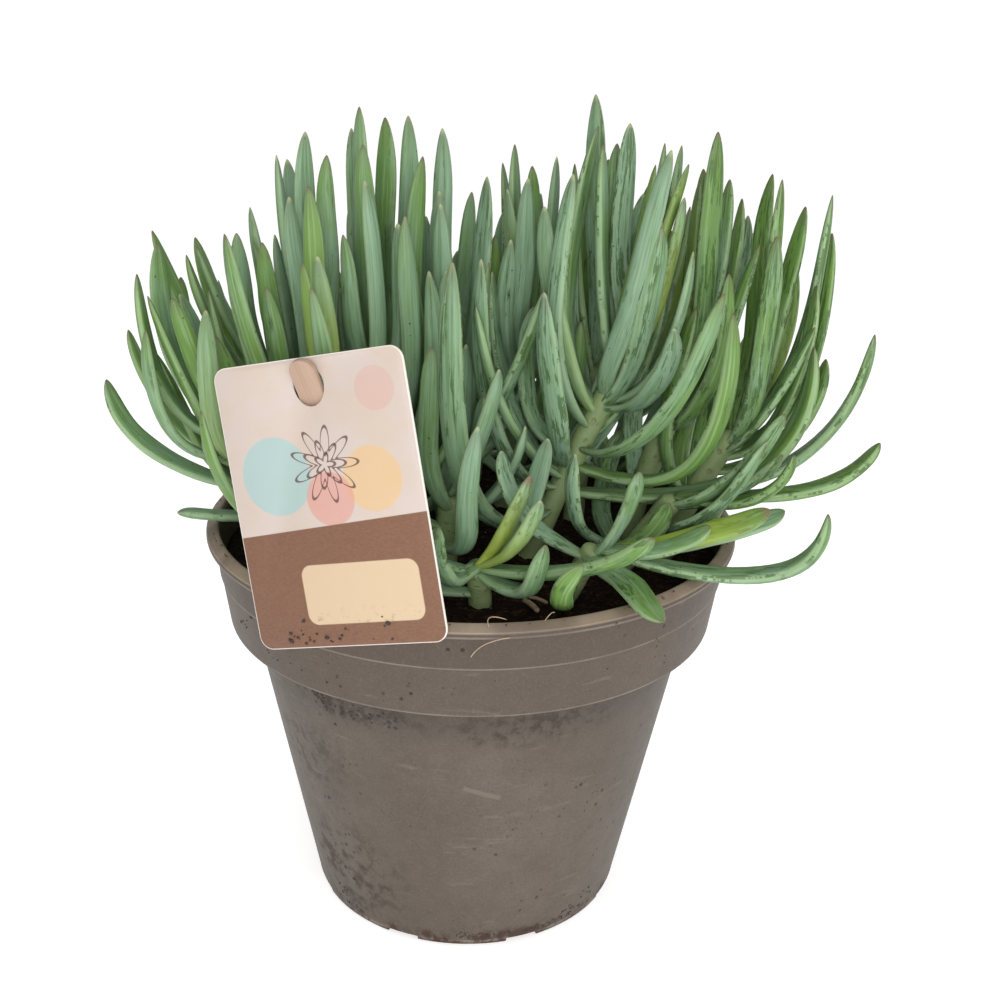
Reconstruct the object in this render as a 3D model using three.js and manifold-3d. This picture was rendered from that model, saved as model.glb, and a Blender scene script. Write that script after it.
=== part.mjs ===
// Potted blue chalksticks: a clump of leafy succulent stems in a plastic nursery pot of peat, with a card
// label that hangs on a flat wooden stick. Millimetres, +Z up, origin at the middle of the pot's underside.
// The label leans on the front of the rim, so the front is the -Y side.
import * as THREE from 'three';
import { mergeVertices } from 'three/addons/utils/BufferGeometryUtils.js';
import Module from 'manifold-3d';

const wasm = await Module();
wasm.setup();

// Pot: a 17 cm nursery pot with a rolled lip, a collar in two bands and a body that tapers to its foot
const ROUND_STEPS = 32;
const WALL = 1.4;
const LIP = { radius: 85, inner: 81, top: 131.2, edge: 129.2, under: 127.4 };
const COLLAR = {
  topRadius: 82.4, lineRadius: 80.9, line: 116.2, lineStep: 0.35, bottomRadius: 78.6, bottom: 99.8,
};
const BODY = { topRadius: 71.4, footRadius: 51.5, footRound: 1.8 };
const BASE = { floor: 4, recess: 2.6, padRadius: 13, ringInner: 45.5 };
const DRAIN = { count: 8, radius: 4.2, circle: 30, sides: 6 };
const FOOT_GAP = { count: 8, width: 11, height: 2 };

// Peat fills the pot to a little below the lip
const SOIL = { top: 119, relief: 0.7, clearance: 0.3, rings: 2, steps: ROUND_STEPS / 2, holeClearance: 0.5 };

// Label: a card that leans on the rim, turned to the left and swung a little on its stick
const LABEL = {
  width: 60, height: 80.5, thickness: 0.8, corner: 4,
  azimuth: -24, lean: 8, roll: 14.6, sideways: -5, above: 32.8, restHeight: 129.2, gap: 0.4,
};
const LABEL_HOLE = { up: 32.5, width: 9.8, height: 11.4 };
const STICK = { width: 7.8, thickness: 1.8, tipUp: 8, depth: 100, slant: 22 };

// Stems stand in the peat, and every leaf grows from the middle line of its stem
const STEM = { radius: 3.6, sides: 5, steps: 3, buried: 8 };
const LEAF = { width: 6.4, flatness: 0.68 };

// Where along a leaf its rings lie. The first row whose degrees the leaf's bend doesn't pass is used.
const LEAF_RINGS = [
  { bend: 28, rings: [0, 0.84] },
  { bend: 58, rings: [0, 0.42, 0.85] },
  { bend: 180, rings: [0, 0.22, 0.54, 0.86] },
];

// How wide a leaf is along its length, as [share of the length, share of the full width]
const LEAF_PROFILE = [
  [0, 0.6], [0.1, 0.75], [0.25, 0.92], [0.45, 1], [0.7, 1], [0.82, 0.95], [0.9, 0.82], [0.95, 0.6],
  [0.98, 0.36], [1, 0.08],
];

// A leaf's section, as [share of the width, share of the thickness]: its upper side is the flat one
const LEAF_SECTION = [[-0.5, 0.16], [-0.3, -0.44], [0.3, -0.44], [0.5, 0.16], [0, 0.4]];

// The spiral that places the other leaves: degrees from leaf to leaf, the turns and shorter lengths that a
// leaf tries until it is clear of the rest, how much steeper it stands per degree of turn, how far chance
// moves each of its sizes, and how upright it grows
const SPIRAL = { step: 137.5, turns: [0, 8, -8, 16, -16, 24, -24, 34, -34], lengths: [1, 0.85, 0.7] };
const STEEPER = 0.15;
const CHANCE = { azimuth: 16, length: 0.07, standing: 8, curl: 0.12, sway: 5 };
const SPIRAL_UPRIGHT = 0.45;
const SEED = 20241;

// Beads along leaves and stems stand in for them where they must keep clear of each other. Leaves of one
// stem may crowd, and their first beads, which sink into the stem, aren't compared.
const BEADS = { leaf: 17, stem: 24, sunk: 6, crowding: 0.8, gap: 0.5 };
const CLEAR_OF = { soil: 1.4, lipSide: 0.5, lipTop: 0.3, card: 1 };

// Each leafy stem: its foot on the peat, its top, and how much of its lean comes late (bow).
// Each of its own leaves is [height up the stem 0-1, azimuth in degrees from +X, reach, rise, curl, sag,
// width], with reach and rise from root to tip. fill adds leaves in a spiral from share low of the stem to its
// top, which stand from spread to close degrees above its side.
const STEMS = [
  {
    foot: [-52, -6], top: [-74, -6, 158], bow: 0.2,
    fill: { count: 9, start: 10, low: 0.45, spread: 62, close: 82, length: 64 },
    leaves: [
      [1, 158, 27, 58, 0.85, 0, 7],
      [0.95, -168, 29, 54, 0.9, 0, 6.7],
      [0.85, -153, 31, 44, 1.1, 0, 6.4],
      [0.6, -178, 50, 35, 0.7, 2, 7],
      [0.8, -108, 29, 56, 0.9, 0, 6.7],
      [0.95, 134, 39, 45, 0.7, 0, 6.1],
      [0.85, 126, 50, 47, 0.7, 0, 6.1],
      [0.55, -135, 25, 24, 0.6, 0, 6.1],
      [0.36, -154, 36, 9, 0.1, -2, 6.5],
      [0.7, 143, 60, 37, 0.9, 0, 6.4],
    ],
  },
  {
    foot: [-44, 20], top: [-60, 16, 162], bow: 0.4,
    fill: { count: 11, start: 120, low: 0.4, spread: 35, close: 84, length: 82 },
    leaves: [
      [0.9, 168, 36, 51, 0.6, 0, 6.4],
      [0.95, -151, 21, 59, 0.6, 0, 6.4],
      [0.98, -121, 26, 61, 0.5, 0, 6.4],
      [1, -139, 12, 65, 0.4, 0, 7],
      [0.95, -95, 30, 61, 0.6, 0, 6.5],
      [0.8, -94, 43, 57, 0.8, 0, 6.5],
      [1, 120, 7, 49, 0.4, 0, 6.1],
    ],
  },
  {
    foot: [-34, -6], top: [-46, -4, 168], bow: 0.4,
    fill: { count: 11, start: 235, low: 0.35, spread: 40, close: 86, length: 88 },
    leaves: [
      [0.95, 145, 18, 78, 0.5, 0, 6.7],
      [0.9, 120, 28, 77, 0.4, 0, 6.5],
      [1, 138, 9, 83, 0.3, 0, 7],
      [0.85, -101, 16, 78, 0.8, 0, 7.1],
      [0.85, -89, 26, 60, 0.7, 0, 6.1],
      [0.8, -96, 34, 62, 0.7, 0, 5.6],
      [0.95, -105, 2, 80, 0.3, 0, 6.4],
    ],
  },
  {
    foot: [-22, 18], top: [-30, 14, 170], bow: 0.4,
    fill: { count: 14, start: 0, low: 0.1, spread: 40, close: 86, length: 88 },
    leaves: [
      [1, 151, 12, 80, 0.5, 0, 6.2],
      [1, -148, 8, 88, 0.5, 0, 6.7],
      [0.9, -105, 23, 84, 0.4, 0, 7],
      [1, 45, 3, 84, 0.4, 0, 7.1],
      [0.95, 51, 13, 86, 0.5, 0, 7],
      [0.85, -51, 17, 82, 0.5, 0, 7.1],
      [0.8, -78, 32, 68, 0.7, 0, 7.1],
      [0.85, -105, 34, 62, 0.6, 0, 6.2],
    ],
  },
  {
    foot: [-8, 10], top: [-12, 14, 158], bow: 0.4,
    fill: { count: 14, start: -60, low: 0.1, spread: 35, close: 82, length: 84 },
    leaves: [
      [1, 82, 12, 92, 0.5, 0, 6.7],
      [0.95, -132, 2, 77, 0.4, 0, 6.2],
      [0.85, -83, 13, 79, 0.4, 0, 6.7],
      [0.95, 69, 22, 73, 0.5, 0, 6.1],
      [0.9, 24, 16, 82, 0.6, 0, 7],
      [0.7, -89, 26, 68, 0.5, 0, 6.1],
      [0.5, -43, 40, 72, 0.3, 0, 7.1],
    ],
  },
  {
    foot: [16, -6], top: [48, 0, 184], bow: 0.15,
    fill: { count: 12, start: 30, low: 0.5, spread: 50, close: 86, length: 84 },
    leaves: [
      [0.32, -129, 51, 88, 1.1, 6, 8.5],
      [0.42, -159, 29, 75, 1, 0, 7],
      [0.48, 156, 27, 62, 0.9, 0, 6.7],
      [0.45, -148, 33, 60, 0.5, 0, 6.5],
      [0.52, -111, 27, 61, 0.8, 0, 7.6],
      [0.74, -157, 21, 67, 0.5, 0, 7.1],
      [0.92, 176, 8, 71, 0.75, 0, 7.4],
      [1, 116, 9, 71, 0.5, 0, 7],
      [0.78, -44, 21, 60, 0.55, 0, 7.6],
      [0.92, -31, 11, 50, 0.5, 0, 5.8],
      [1, 0, 14, 51, 0.5, 0, 6.2],
      [0.8, -20, 25, 50, 0.8, 0, 6.5],
      [0.78, -54, 33, 33, 0.8, 0, 6.4],
      [0.52, -27, 50, 56, 1.2, 8, 8],
      [0.4, -1, 77, 49, 1.15, 6, 9],
      [0.9, 104, 15, 71, 0.6, 0, 6.7],
    ],
  },
  {
    foot: [10, 40], top: [16, 36, 164], bow: 0.4,
    fill: { count: 14, start: 100, low: 0.1, spread: 35, close: 82, length: 82 },
    leaves: [
      [0.9, 121, 13, 77, 0.6, 0, 6.1],
      [1, 180, 5, 80, 0.5, 0, 6.7],
      [0.9, -114, 12, 72, 0.5, 0, 5.8],
      [1, -78, 10, 75, 0.4, 0, 6.2],
      [0.95, -2, 9, 79, 0.5, 0, 7],
      [0.8, -132, 15, 62, 0.6, 0, 6.1],
      [0.8, -103, 24, 63, 0.6, 0, 6.1],
      [0.9, -93, 26, 78, 0.4, 0, 6.5],
      [0.3, -23, 13, 40, 0.5, 0, 6.5],
    ],
  },
  {
    foot: [34, 28], top: [40, 28, 174], bow: 0.4,
    fill: { count: 14, start: 160, low: 0.1, spread: 40, close: 84, length: 88 },
    leaves: [
      [0.9, -167, 9, 71, 0.5, 0, 6.5],
      [1, -111, 9, 88, 0.5, 0, 7.4],
      [1, 0, 18, 73, 0.6, 0, 6.7],
      [0.9, -28, 21, 70, 0.5, 0, 6.5],
      [1, -54, 17, 59, 0.3, 0, 6.5],
      [1, 23, 26, 71, 0.6, 0, 7],
      [0.7, -122, 17, 62, 0.5, 0, 6.5],
      [0.35, -144, 10, 51, 0.4, 0, 6.5],
      [0.3, 19, 6, 45, 0.4, 0, 6.5],
      [0.8, 111, 13, 64, 0.4, 0, 6.5],
    ],
  },
  {
    foot: [50, 10], top: [66, 12, 168], bow: 0.3,
    fill: { count: 14, start: 60, low: 0.1, spread: 40, close: 84, length: 88 },
    leaves: [
      [0.9, 34, 4, 75, 0.6, 0, 7],
      [0.95, 61, 14, 74, 0.6, 0, 6.8],
      [1, -55, 11, 86, 0.6, 0, 7.3],
      [1, 9, 12, 70, 0.5, 0, 6.7],
      [0.85, 18, 21, 71, 0.7, 0, 6.7],
      [0.8, -53, 25, 56, 0.8, 0, 6.7],
      [0.9, 38, 30, 61, 0.7, 0, 6.4],
      [0.3, 102, 6, 59, 0.4, 0, 6.5],
    ],
  },
  {
    foot: [60, 4], top: [84, 4, 160], bow: 0.15,
    fill: { count: 11, start: 90, low: 0.45, spread: 55, close: 82, length: 76 },
    leaves: [
      [1, 66, 13, 80, 0.6, 0, 6.8],
      [0.95, -13, 9, 83, 0.7, 0, 7],
      [0.9, -52, 15, 70, 0.8, 0, 6.7],
      [1, 39, 22, 70, 0.6, 0, 6.7],
      [0.95, 18, 27, 77, 0.8, 0, 7],
      [0.85, 18, 33, 69, 1, 0, 6.8],
      [0.8, 0, 27, 57, 0.9, 0, 6.7],
      [0.6, 0, 51, 52, 0.8, 4, 7.9],
      [0.7, 6, 36, 37, 0.8, 2, 7.2],
      [0.8, 40, 31, 62, 0.7, 0, 6.7],
      [0.3, 78, 26, 55, 0.5, 0, 6.5],
    ],
  },
  {
    foot: [42, -16], top: [64, -14, 144], bow: 0.1,
    fill: { count: 9, start: 100, low: 0.35, spread: 30, close: 70, length: 58 },
    leaves: [
      [0.9, -3, 34, 19, 0.5, 2, 6.6],
      [1, -23, 36, 20, 0.8, 4, 6.9],
      [1, 2, 62, 19, 0.8, 4, 7.7],
      [0.7, -15, 21, 11, 0.8, 4, 6.9],
    ],
  },
  {
    foot: [26, -36], top: [38, -42, 138], bow: 0.1,
    fill: { count: 5, start: 150, low: 0.35, spread: 20, close: 34, length: 52 },
    leaves: [
      [0.95, 2, 52, 13, 0.2, 4, 7.6],
      [0.9, 16, 63, 8, 0.3, 4, 7.2],
      [1, -16, 66, 20, 1, 14, 8.1],
      [0.85, -69, 47, 0, -0.3, -4, 8.1],
      [0.9, -12, 13, 28, 0.5, 0, 6.9],
    ],
  },
  {
    foot: [4, -42], top: [3, -48, 134], bow: 0.4,
    fill: { count: 6, start: 40, low: 0.35, spread: 20, close: 44, length: 50 },
    leaves: [
      [1, -136, 17, 17, 1.2, 6, 7.9],
      [0.9, -47, 26, 16, 1, 8, 7.6],
      [1, -24, 15, 30, 0.3, 0, 7.9],
      [0.95, -28, 55, 22, 0.5, 2, 8.5],
    ],
  },
  {
    foot: [-8, -20], top: [-6, -22, 146], bow: 0.4,
    fill: { count: 14, start: -30, low: 0.15, spread: 30, close: 80, length: 66 },
    leaves: [],
  },
  {
    foot: [-34, 48], top: [-46, 58, 160], bow: 0.4,
    fill: { count: 21, start: 30, low: 0.1, spread: 25, close: 84, length: 80 },
    leaves: [],
  },
  {
    foot: [-2, 62], top: [2, 72, 152], bow: 0.4,
    fill: { count: 19, start: 60, low: 0.1, spread: 25, close: 80, length: 70 },
    leaves: [],
  },
  {
    foot: [46, 48], top: [60, 58, 160], bow: 0.4,
    fill: { count: 21, start: 0, low: 0.1, spread: 25, close: 84, length: 82 },
    leaves: [
      [0.3, -32, 19, 38, 0.5, 0, 6.5],
      [0.3, -60, 7, 39, 0.5, 0, 6.5],
    ],
  },
];

const UP = new THREE.Vector3(0, 0, 1);
const degrees = THREE.MathUtils.degToRad;
const lerp = THREE.MathUtils.lerp;

// Solids

// A closed geometry with shared vertices and its faces pointing out
function closed(geometry) {
  const bare = geometry.clone();
  bare.deleteAttribute('normal');
  bare.deleteAttribute('uv');
  const merged = mergeVertices(bare, 1e-4);
  const position = merged.getAttribute('position');
  const index = Array.from(merged.index.array);
  const [a, b, c] = [new THREE.Vector3(), new THREE.Vector3(), new THREE.Vector3()];
  const kept = [];
  let volume = 0;
  for (let i = 0; i < index.length; i += 3) {
    const [p, q, r] = index.slice(i, i + 3);
    if (p === q || q === r || r === p) continue;
    kept.push(p, q, r);
    a.fromBufferAttribute(position, p);
    b.fromBufferAttribute(position, q);
    c.fromBufferAttribute(position, r);
    volume += a.dot(b.cross(c));
  }
  if (volume < 0) kept.reverse();
  merged.setIndex(kept);
  return merged;
}

function toSolid(geometry) {
  const merged = closed(geometry);
  return new wasm.Manifold(new wasm.Mesh({
    numProp: 3,
    vertProperties: new Float32Array(merged.getAttribute('position').array),
    triVerts: new Uint32Array(merged.index.array),
  }));
}

// The largest outer skin of a solid: sealed hollows are filled and loose scraps dropped
function toGeometry(solid) {
  const largest = solid.decompose().reduce((best, piece) => (piece.volume() > best.volume() ? piece : best));
  const { vertProperties, triVerts } = largest.getMesh();
  const geometry = new THREE.BufferGeometry();
  geometry.setAttribute('position', new THREE.BufferAttribute(new Float32Array(vertProperties), 3));
  geometry.setIndex(Array.from(triVerts));
  return geometry;
}

function material(color, roughness) {
  return new THREE.MeshStandardMaterial({ color, roughness, metalness: 0 });
}

function piece(name, geometry, itsMaterial) {
  const mesh = new THREE.Mesh(closed(geometry), itsMaterial);
  mesh.name = name;
  return mesh;
}

// A profile of [radius, height] pairs turned round the pot's axis
function turned(profile, steps = ROUND_STEPS) {
  const points = profile.map(([radius, height]) => new THREE.Vector2(radius, height));
  return new THREE.LatheGeometry(points, steps).rotateX(Math.PI / 2);
}

// A regular outline with one corner on +X
function polygon(radius, sides) {
  const shape = new THREE.Shape();
  for (let i = 0; i < sides; i += 1) {
    const angle = (2 * Math.PI * i) / sides;
    const corner = [radius * Math.cos(angle), radius * Math.sin(angle)];
    if (i === 0) shape.moveTo(...corner);
    else shape.lineTo(...corner);
  }
  shape.closePath();
  return shape;
}

// Pot

function potProfile() {
  const inner = (radius) => radius - WALL;
  return [
    [0, 0], [BASE.padRadius, 0], [BASE.padRadius + 2, BASE.recess], [BASE.ringInner - 1, BASE.recess],
    [BASE.ringInner, 0], [BODY.footRadius - BODY.footRound, 0],
    [BODY.footRadius - 0.4, 0.7], [BODY.footRadius, BODY.footRound + 0.4],
    [BODY.topRadius, COLLAR.bottom],
    [COLLAR.bottomRadius - 0.6, COLLAR.bottom], [COLLAR.bottomRadius, COLLAR.bottom + 0.8],
    [COLLAR.lineRadius, COLLAR.line], [COLLAR.lineRadius + COLLAR.lineStep, COLLAR.line + 0.35],
    [COLLAR.topRadius, LIP.under], [LIP.radius - 0.6, LIP.under + 0.1], [LIP.radius, LIP.under + 0.8],
    [LIP.radius, LIP.edge], [LIP.radius - 0.7, LIP.edge + 0.8],
    [LIP.inner + 1, LIP.top], [LIP.inner, LIP.top - 0.5],
    [inner(COLLAR.lineRadius), COLLAR.line], [inner(COLLAR.bottomRadius), COLLAR.bottom + WALL],
    [inner(BODY.topRadius), COLLAR.bottom + WALL], [inner(BODY.footRadius), BASE.floor], [0, BASE.floor],
  ];
}

function potGeometry() {
  let pot = toSolid(turned(potProfile()));
  for (let i = 0; i < DRAIN.count; i += 1) {
    const angle = (2 * Math.PI * i) / DRAIN.count;
    const hole = new THREE.CylinderGeometry(DRAIN.radius, DRAIN.radius, 3 * BASE.floor, DRAIN.sides);
    hole.rotateX(Math.PI / 2);
    hole.translate(DRAIN.circle * Math.cos(angle), DRAIN.circle * Math.sin(angle), 0);
    pot = pot.subtract(toSolid(hole));
  }
  const reach = BODY.footRadius - BASE.ringInner + 4;
  for (let i = 0; i < FOOT_GAP.count; i += 1) {
    const gap = new THREE.BoxGeometry(reach, FOOT_GAP.width, 2 * FOOT_GAP.height);
    gap.translate(BASE.ringInner + reach / 2 - 2, 0, 0);
    gap.rotateZ((2 * Math.PI * (i + 0.5)) / FOOT_GAP.count);
    pot = pot.subtract(toSolid(gap));
  }
  return toGeometry(pot);
}

// Peat

function soilProfile() {
  const inner = (radius) => radius - WALL - SOIL.clearance;
  const shoulder = COLLAR.bottom + WALL + SOIL.clearance;
  const topRadius = inner(COLLAR.lineRadius + 0.3);
  const top = [];
  for (let i = SOIL.rings; i >= 0; i -= 1) top.push([(topRadius * i) / SOIL.rings, SOIL.top]);
  return [
    [0, BASE.floor + SOIL.clearance],
    [inner(BODY.footRadius), BASE.floor + SOIL.clearance],
    [inner(BODY.topRadius) - 0.1, shoulder],
    [inner(COLLAR.bottomRadius), shoulder],
    ...top,
  ];
}

// The peat's top is uneven: low lumps that fade out at the pot's wall
function soilHeight(x, y) {
  const fade = 1 - (Math.hypot(x, y) / COLLAR.bottomRadius) ** 2;
  return SOIL.relief * fade * (Math.sin(x / 7 + 1) * Math.cos(y / 9) + 0.5 * Math.sin((x + y) / 5));
}

function soilGeometry(stems, hanger) {
  const heap = closed(turned(soilProfile(), SOIL.steps));
  const position = heap.getAttribute('position');
  for (let i = 0; i < position.count; i += 1) {
    if (position.getZ(i) > SOIL.top - 1) {
      position.setZ(i, SOIL.top + soilHeight(position.getX(i), position.getY(i)));
    }
  }
  let soil = toSolid(heap);
  for (const stem of stems) {
    soil = soil.subtract(toSolid(stemTube(stem, STEM.radius + SOIL.holeClearance, SOIL.holeClearance)));
  }
  hanger.updateMatrixWorld(true);
  const slot = stickBlank(SOIL.holeClearance);
  const stick = hanger.getObjectByName('label_stick');
  return toGeometry(soil.subtract(toSolid(slot.applyMatrix4(stick.matrixWorld))));
}

// Label and stick: both hang in one frame, X across the card, Z up it and -Y towards the viewer

function cardGeometry() {
  const { width, height, thickness, corner } = LABEL;
  const [x, y] = [width / 2, height / 2];
  const card = new THREE.Shape();
  card.moveTo(-x + corner, -y);
  card.lineTo(x - corner, -y);
  card.absarc(x - corner, -y + corner, corner, -Math.PI / 2, 0);
  card.lineTo(x, y - corner);
  card.absarc(x - corner, y - corner, corner, 0, Math.PI / 2);
  card.lineTo(-x + corner, y);
  card.absarc(-x + corner, y - corner, corner, Math.PI / 2, Math.PI);
  card.lineTo(-x, -y + corner);
  card.absarc(-x + corner, -y + corner, corner, Math.PI, 1.5 * Math.PI);
  const hole = new THREE.Path();
  hole.absellipse(0, LABEL_HOLE.up, LABEL_HOLE.width / 2, LABEL_HOLE.height / 2, 0, 2 * Math.PI);
  card.holes.push(hole);
  const geometry = new THREE.ExtrudeGeometry(card, { depth: thickness, bevelEnabled: false, curveSegments: 5 });
  return geometry.translate(0, 0, -thickness / 2).rotateX(Math.PI / 2);
}

// The stick's blank lies along its own Z from its buried end, with a half-round top
function stickBlank(extra = 0) {
  const half = STICK.width / 2 + extra;
  const outline = new THREE.Shape();
  outline.moveTo(-half, -STICK.depth - extra);
  outline.lineTo(half, -STICK.depth - extra);
  outline.lineTo(half, STICK.tipUp - STICK.width / 2);
  outline.absarc(0, STICK.tipUp - STICK.width / 2, half, 0, Math.PI);
  const depth = STICK.thickness + 2 * extra;
  const blank = new THREE.ExtrudeGeometry(outline, { depth, bevelEnabled: false, curveSegments: 8 });
  return blank.translate(0, 0, -depth / 2).rotateX(Math.PI / 2);
}

function buildHanger() {
  const rim = new THREE.Group();
  const yaw = degrees(LABEL.azimuth);
  rim.position.set(LIP.radius * Math.sin(yaw), -LIP.radius * Math.cos(yaw), LABEL.restHeight);
  rim.rotation.z = yaw;
  const leaning = new THREE.Group();
  leaning.rotation.x = -degrees(LABEL.lean);
  rim.add(leaning);
  const swung = new THREE.Group();
  swung.position.set(LABEL.sideways, -LABEL.thickness / 2 - LABEL.gap, LABEL.above);
  swung.rotation.y = -degrees(LABEL.roll);
  leaning.add(swung);
  const label = piece('label', cardGeometry(), material('#e6d3cb', 0.6));
  const stick = piece('label_stick', stickBlank(), material('#d9b792', 0.8));
  stick.position.z = LABEL_HOLE.up;
  stick.rotation.x = degrees(STICK.slant);
  swung.add(label, stick);
  return rim;
}

// Leafy stems

// A small repeatable generator: the same draws every time
class Draw {
  constructor(seed) {
    this.state = seed;
  }

  around(spread) {
    this.state = (this.state * 16807) % 2147483647;
    return spread * ((2 * this.state) / 2147483647 - 1);
  }
}

function stemCurve({ foot, top, bow }) {
  const start = new THREE.Vector3(foot[0], foot[1], SOIL.top - STEM.buried);
  const end = new THREE.Vector3(...top);
  const bend = new THREE.Vector3(
    lerp((start.x + end.x) / 2, start.x, bow),
    lerp((start.y + end.y) / 2, start.y, bow),
    lerp((start.z + end.z) / 2, end.z, bow / 2),
  );
  return new THREE.QuadraticBezierCurve3(start, bend, end);
}

// The stem as a tube: extra lengthens its buried end, which the holes in the peat use
function stemTube(stem, radius, extra = 0) {
  const { v0, v1, v2 } = stem.curve;
  const start = v0.clone().sub(v1).setLength(extra).add(v0);
  const path = new THREE.QuadraticBezierCurve3(start, v1, v2);
  return new THREE.ExtrudeGeometry(polygon(radius, STEM.sides), { steps: STEM.steps, extrudePath: path });
}

function widthShare(s) {
  const next = Math.max(1, LEAF_PROFILE.findIndex(([at]) => at >= s));
  const [[s0, w0], [s1, w1]] = [LEAF_PROFILE[next - 1], LEAF_PROFILE[next]];
  return lerp(w0, w1, (s - s0) / (s1 - s0));
}

// A leaf's middle line: out from the stem along its reach, then up its rise. curl 1 turns it up sharply,
// 0 leaves it straight, sag lowers its middle and sway moves it sideways. upright 1 measures from the
// vertical, 0 from the stem.
function leafAt(stem, [share, azimuth, reach, rise, curl, sag, width], upright, sway = 0) {
  const root = stem.curve.getPoint(share);
  const axis = stem.curve.getTangent(share).lerp(UP, upright).normalize();
  const heading = degrees(azimuth);
  const out = new THREE.Vector3(Math.cos(heading), Math.sin(heading), 0);
  out.addScaledVector(axis, -out.dot(axis)).normalize();
  const corner = root.clone().addScaledVector(out, reach);
  const tip = corner.clone().addScaledVector(axis, rise);
  const side = axis.clone().cross(out);
  const bend = root.clone().lerp(tip, 0.5).lerp(corner, curl);
  bend.addScaledVector(UP, -sag).addScaledVector(side, sway);
  const curve = new THREE.QuadraticBezierCurve3(root, bend, tip);
  const beads = [];
  for (let i = 0; i < BEADS.leaf; i += 1) {
    const s = i / (BEADS.leaf - 1);
    beads.push({ at: curve.getPoint(s), radius: (width / 2) * widthShare(s) });
  }
  return { stem, curve, width, side, beads };
}

// True where the bead would touch the peat, the pot's lip, the card or its stick
function touchesHolder({ at, radius }, holder) {
  const fromAxis = Math.hypot(at.x, at.y);
  const low = at.z - radius;
  const wall = LIP.inner - 2 * WALL;
  if (fromAxis < wall && low < SOIL.top + CLEAR_OF.soil) return true;
  const overLip = fromAxis >= wall - radius && fromAxis <= LIP.radius + CLEAR_OF.lipSide + radius;
  if (overLip && low < LIP.top + CLEAR_OF.lipTop) return true;
  const onCard = holder.cardFrame.worldToLocal(at.clone());
  const beyond = new THREE.Vector2(
    Math.max(0, Math.abs(onCard.x) - LABEL.width / 2),
    Math.max(0, Math.abs(onCard.z) - LABEL.height / 2),
  );
  if (Math.abs(onCard.y) < radius + CLEAR_OF.card && beyond.length() < radius) return true;
  const nearest = holder.stickLine.closestPointToPoint(at, true, new THREE.Vector3());
  return nearest.distanceTo(at) < radius + STICK.width / 2 + BEADS.gap;
}

function meets(a, b, share, gap) {
  return a.at.distanceTo(b.at) < share * (a.radius + b.radius) + gap;
}

function isClear(leaf, placed, stems, holder) {
  if (leaf.beads.some((bead) => touchesHolder(bead, holder))) return false;
  const others = stems.filter((stem) => stem !== leaf.stem);
  for (const { beads } of others) {
    if (leaf.beads.some((a) => beads.some((b) => meets(a, b, 1, BEADS.gap)))) return false;
  }
  for (const other of placed) {
    const own = other.stem === leaf.stem;
    const first = own ? BEADS.sunk : 0;
    const [share, gap] = own ? [BEADS.crowding, 0] : [1, BEADS.gap];
    for (let i = first; i < BEADS.leaf; i += 1) {
      for (let j = first; j < BEADS.leaf; j += 1) {
        if (meets(leaf.beads[i], other.beads[j], share, gap)) return false;
      }
    }
  }
  return true;
}

// The leaves that the photograph shows come first, and then each stem's spiral, a leaf of each stem in turn
function growLeaves(stems, holder) {
  const placed = [];
  for (const stem of stems) {
    for (const sizes of stem.leaves) placed.push(leafAt(stem, sizes, 1));
  }
  const draw = new Draw(SEED);
  const rounds = Math.max(...stems.map(({ fill }) => fill.count));
  for (let i = 0; i < rounds; i += 1) {
    for (const stem of stems) {
      if (i < stem.fill.count) addSpiralLeaf(stem, i, placed, stems, holder, draw);
    }
  }
  return placed;
}

// Leaves of a spiral are short low down, longest a third of the way up and short again at the top, where they
// also stand steeper and straighter. A leaf that is clear nowhere is left out.
function addSpiralLeaf(stem, i, placed, stems, holder, draw) {
  const { count, start, low, spread, close, length } = stem.fill;
  const u = i / (count - 1);
  const azimuth = start + i * SPIRAL.step + draw.around(CHANCE.azimuth);
  const grown = lerp(lerp(0.85, 1, Math.min(1, 2.5 * u)), 0.72, Math.max(0, 2 * u - 1));
  const whole = length * grown * (1 + draw.around(CHANCE.length));
  const standing = lerp(spread, close, u ** 0.8) + draw.around(CHANCE.standing);
  const curl = lerp(0.95, 0.45, u) + draw.around(CHANCE.curl);
  const sway = draw.around(CHANCE.sway);
  for (const shorter of SPIRAL.lengths) {
    for (const turn of SPIRAL.turns) {
      const angle = degrees(standing + Math.abs(turn) * STEEPER);
      const [reach, rise] = [whole * shorter * Math.cos(angle), whole * shorter * Math.sin(angle)];
      const sizes = [lerp(low, 1, u), azimuth + turn, reach, rise, curl, 0, LEAF.width];
      const leaf = leafAt(stem, sizes, SPIRAL_UPRIGHT, sway);
      if (isClear(leaf, placed, stems, holder)) {
        placed.push(leaf);
        return;
      }
    }
  }
}

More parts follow.
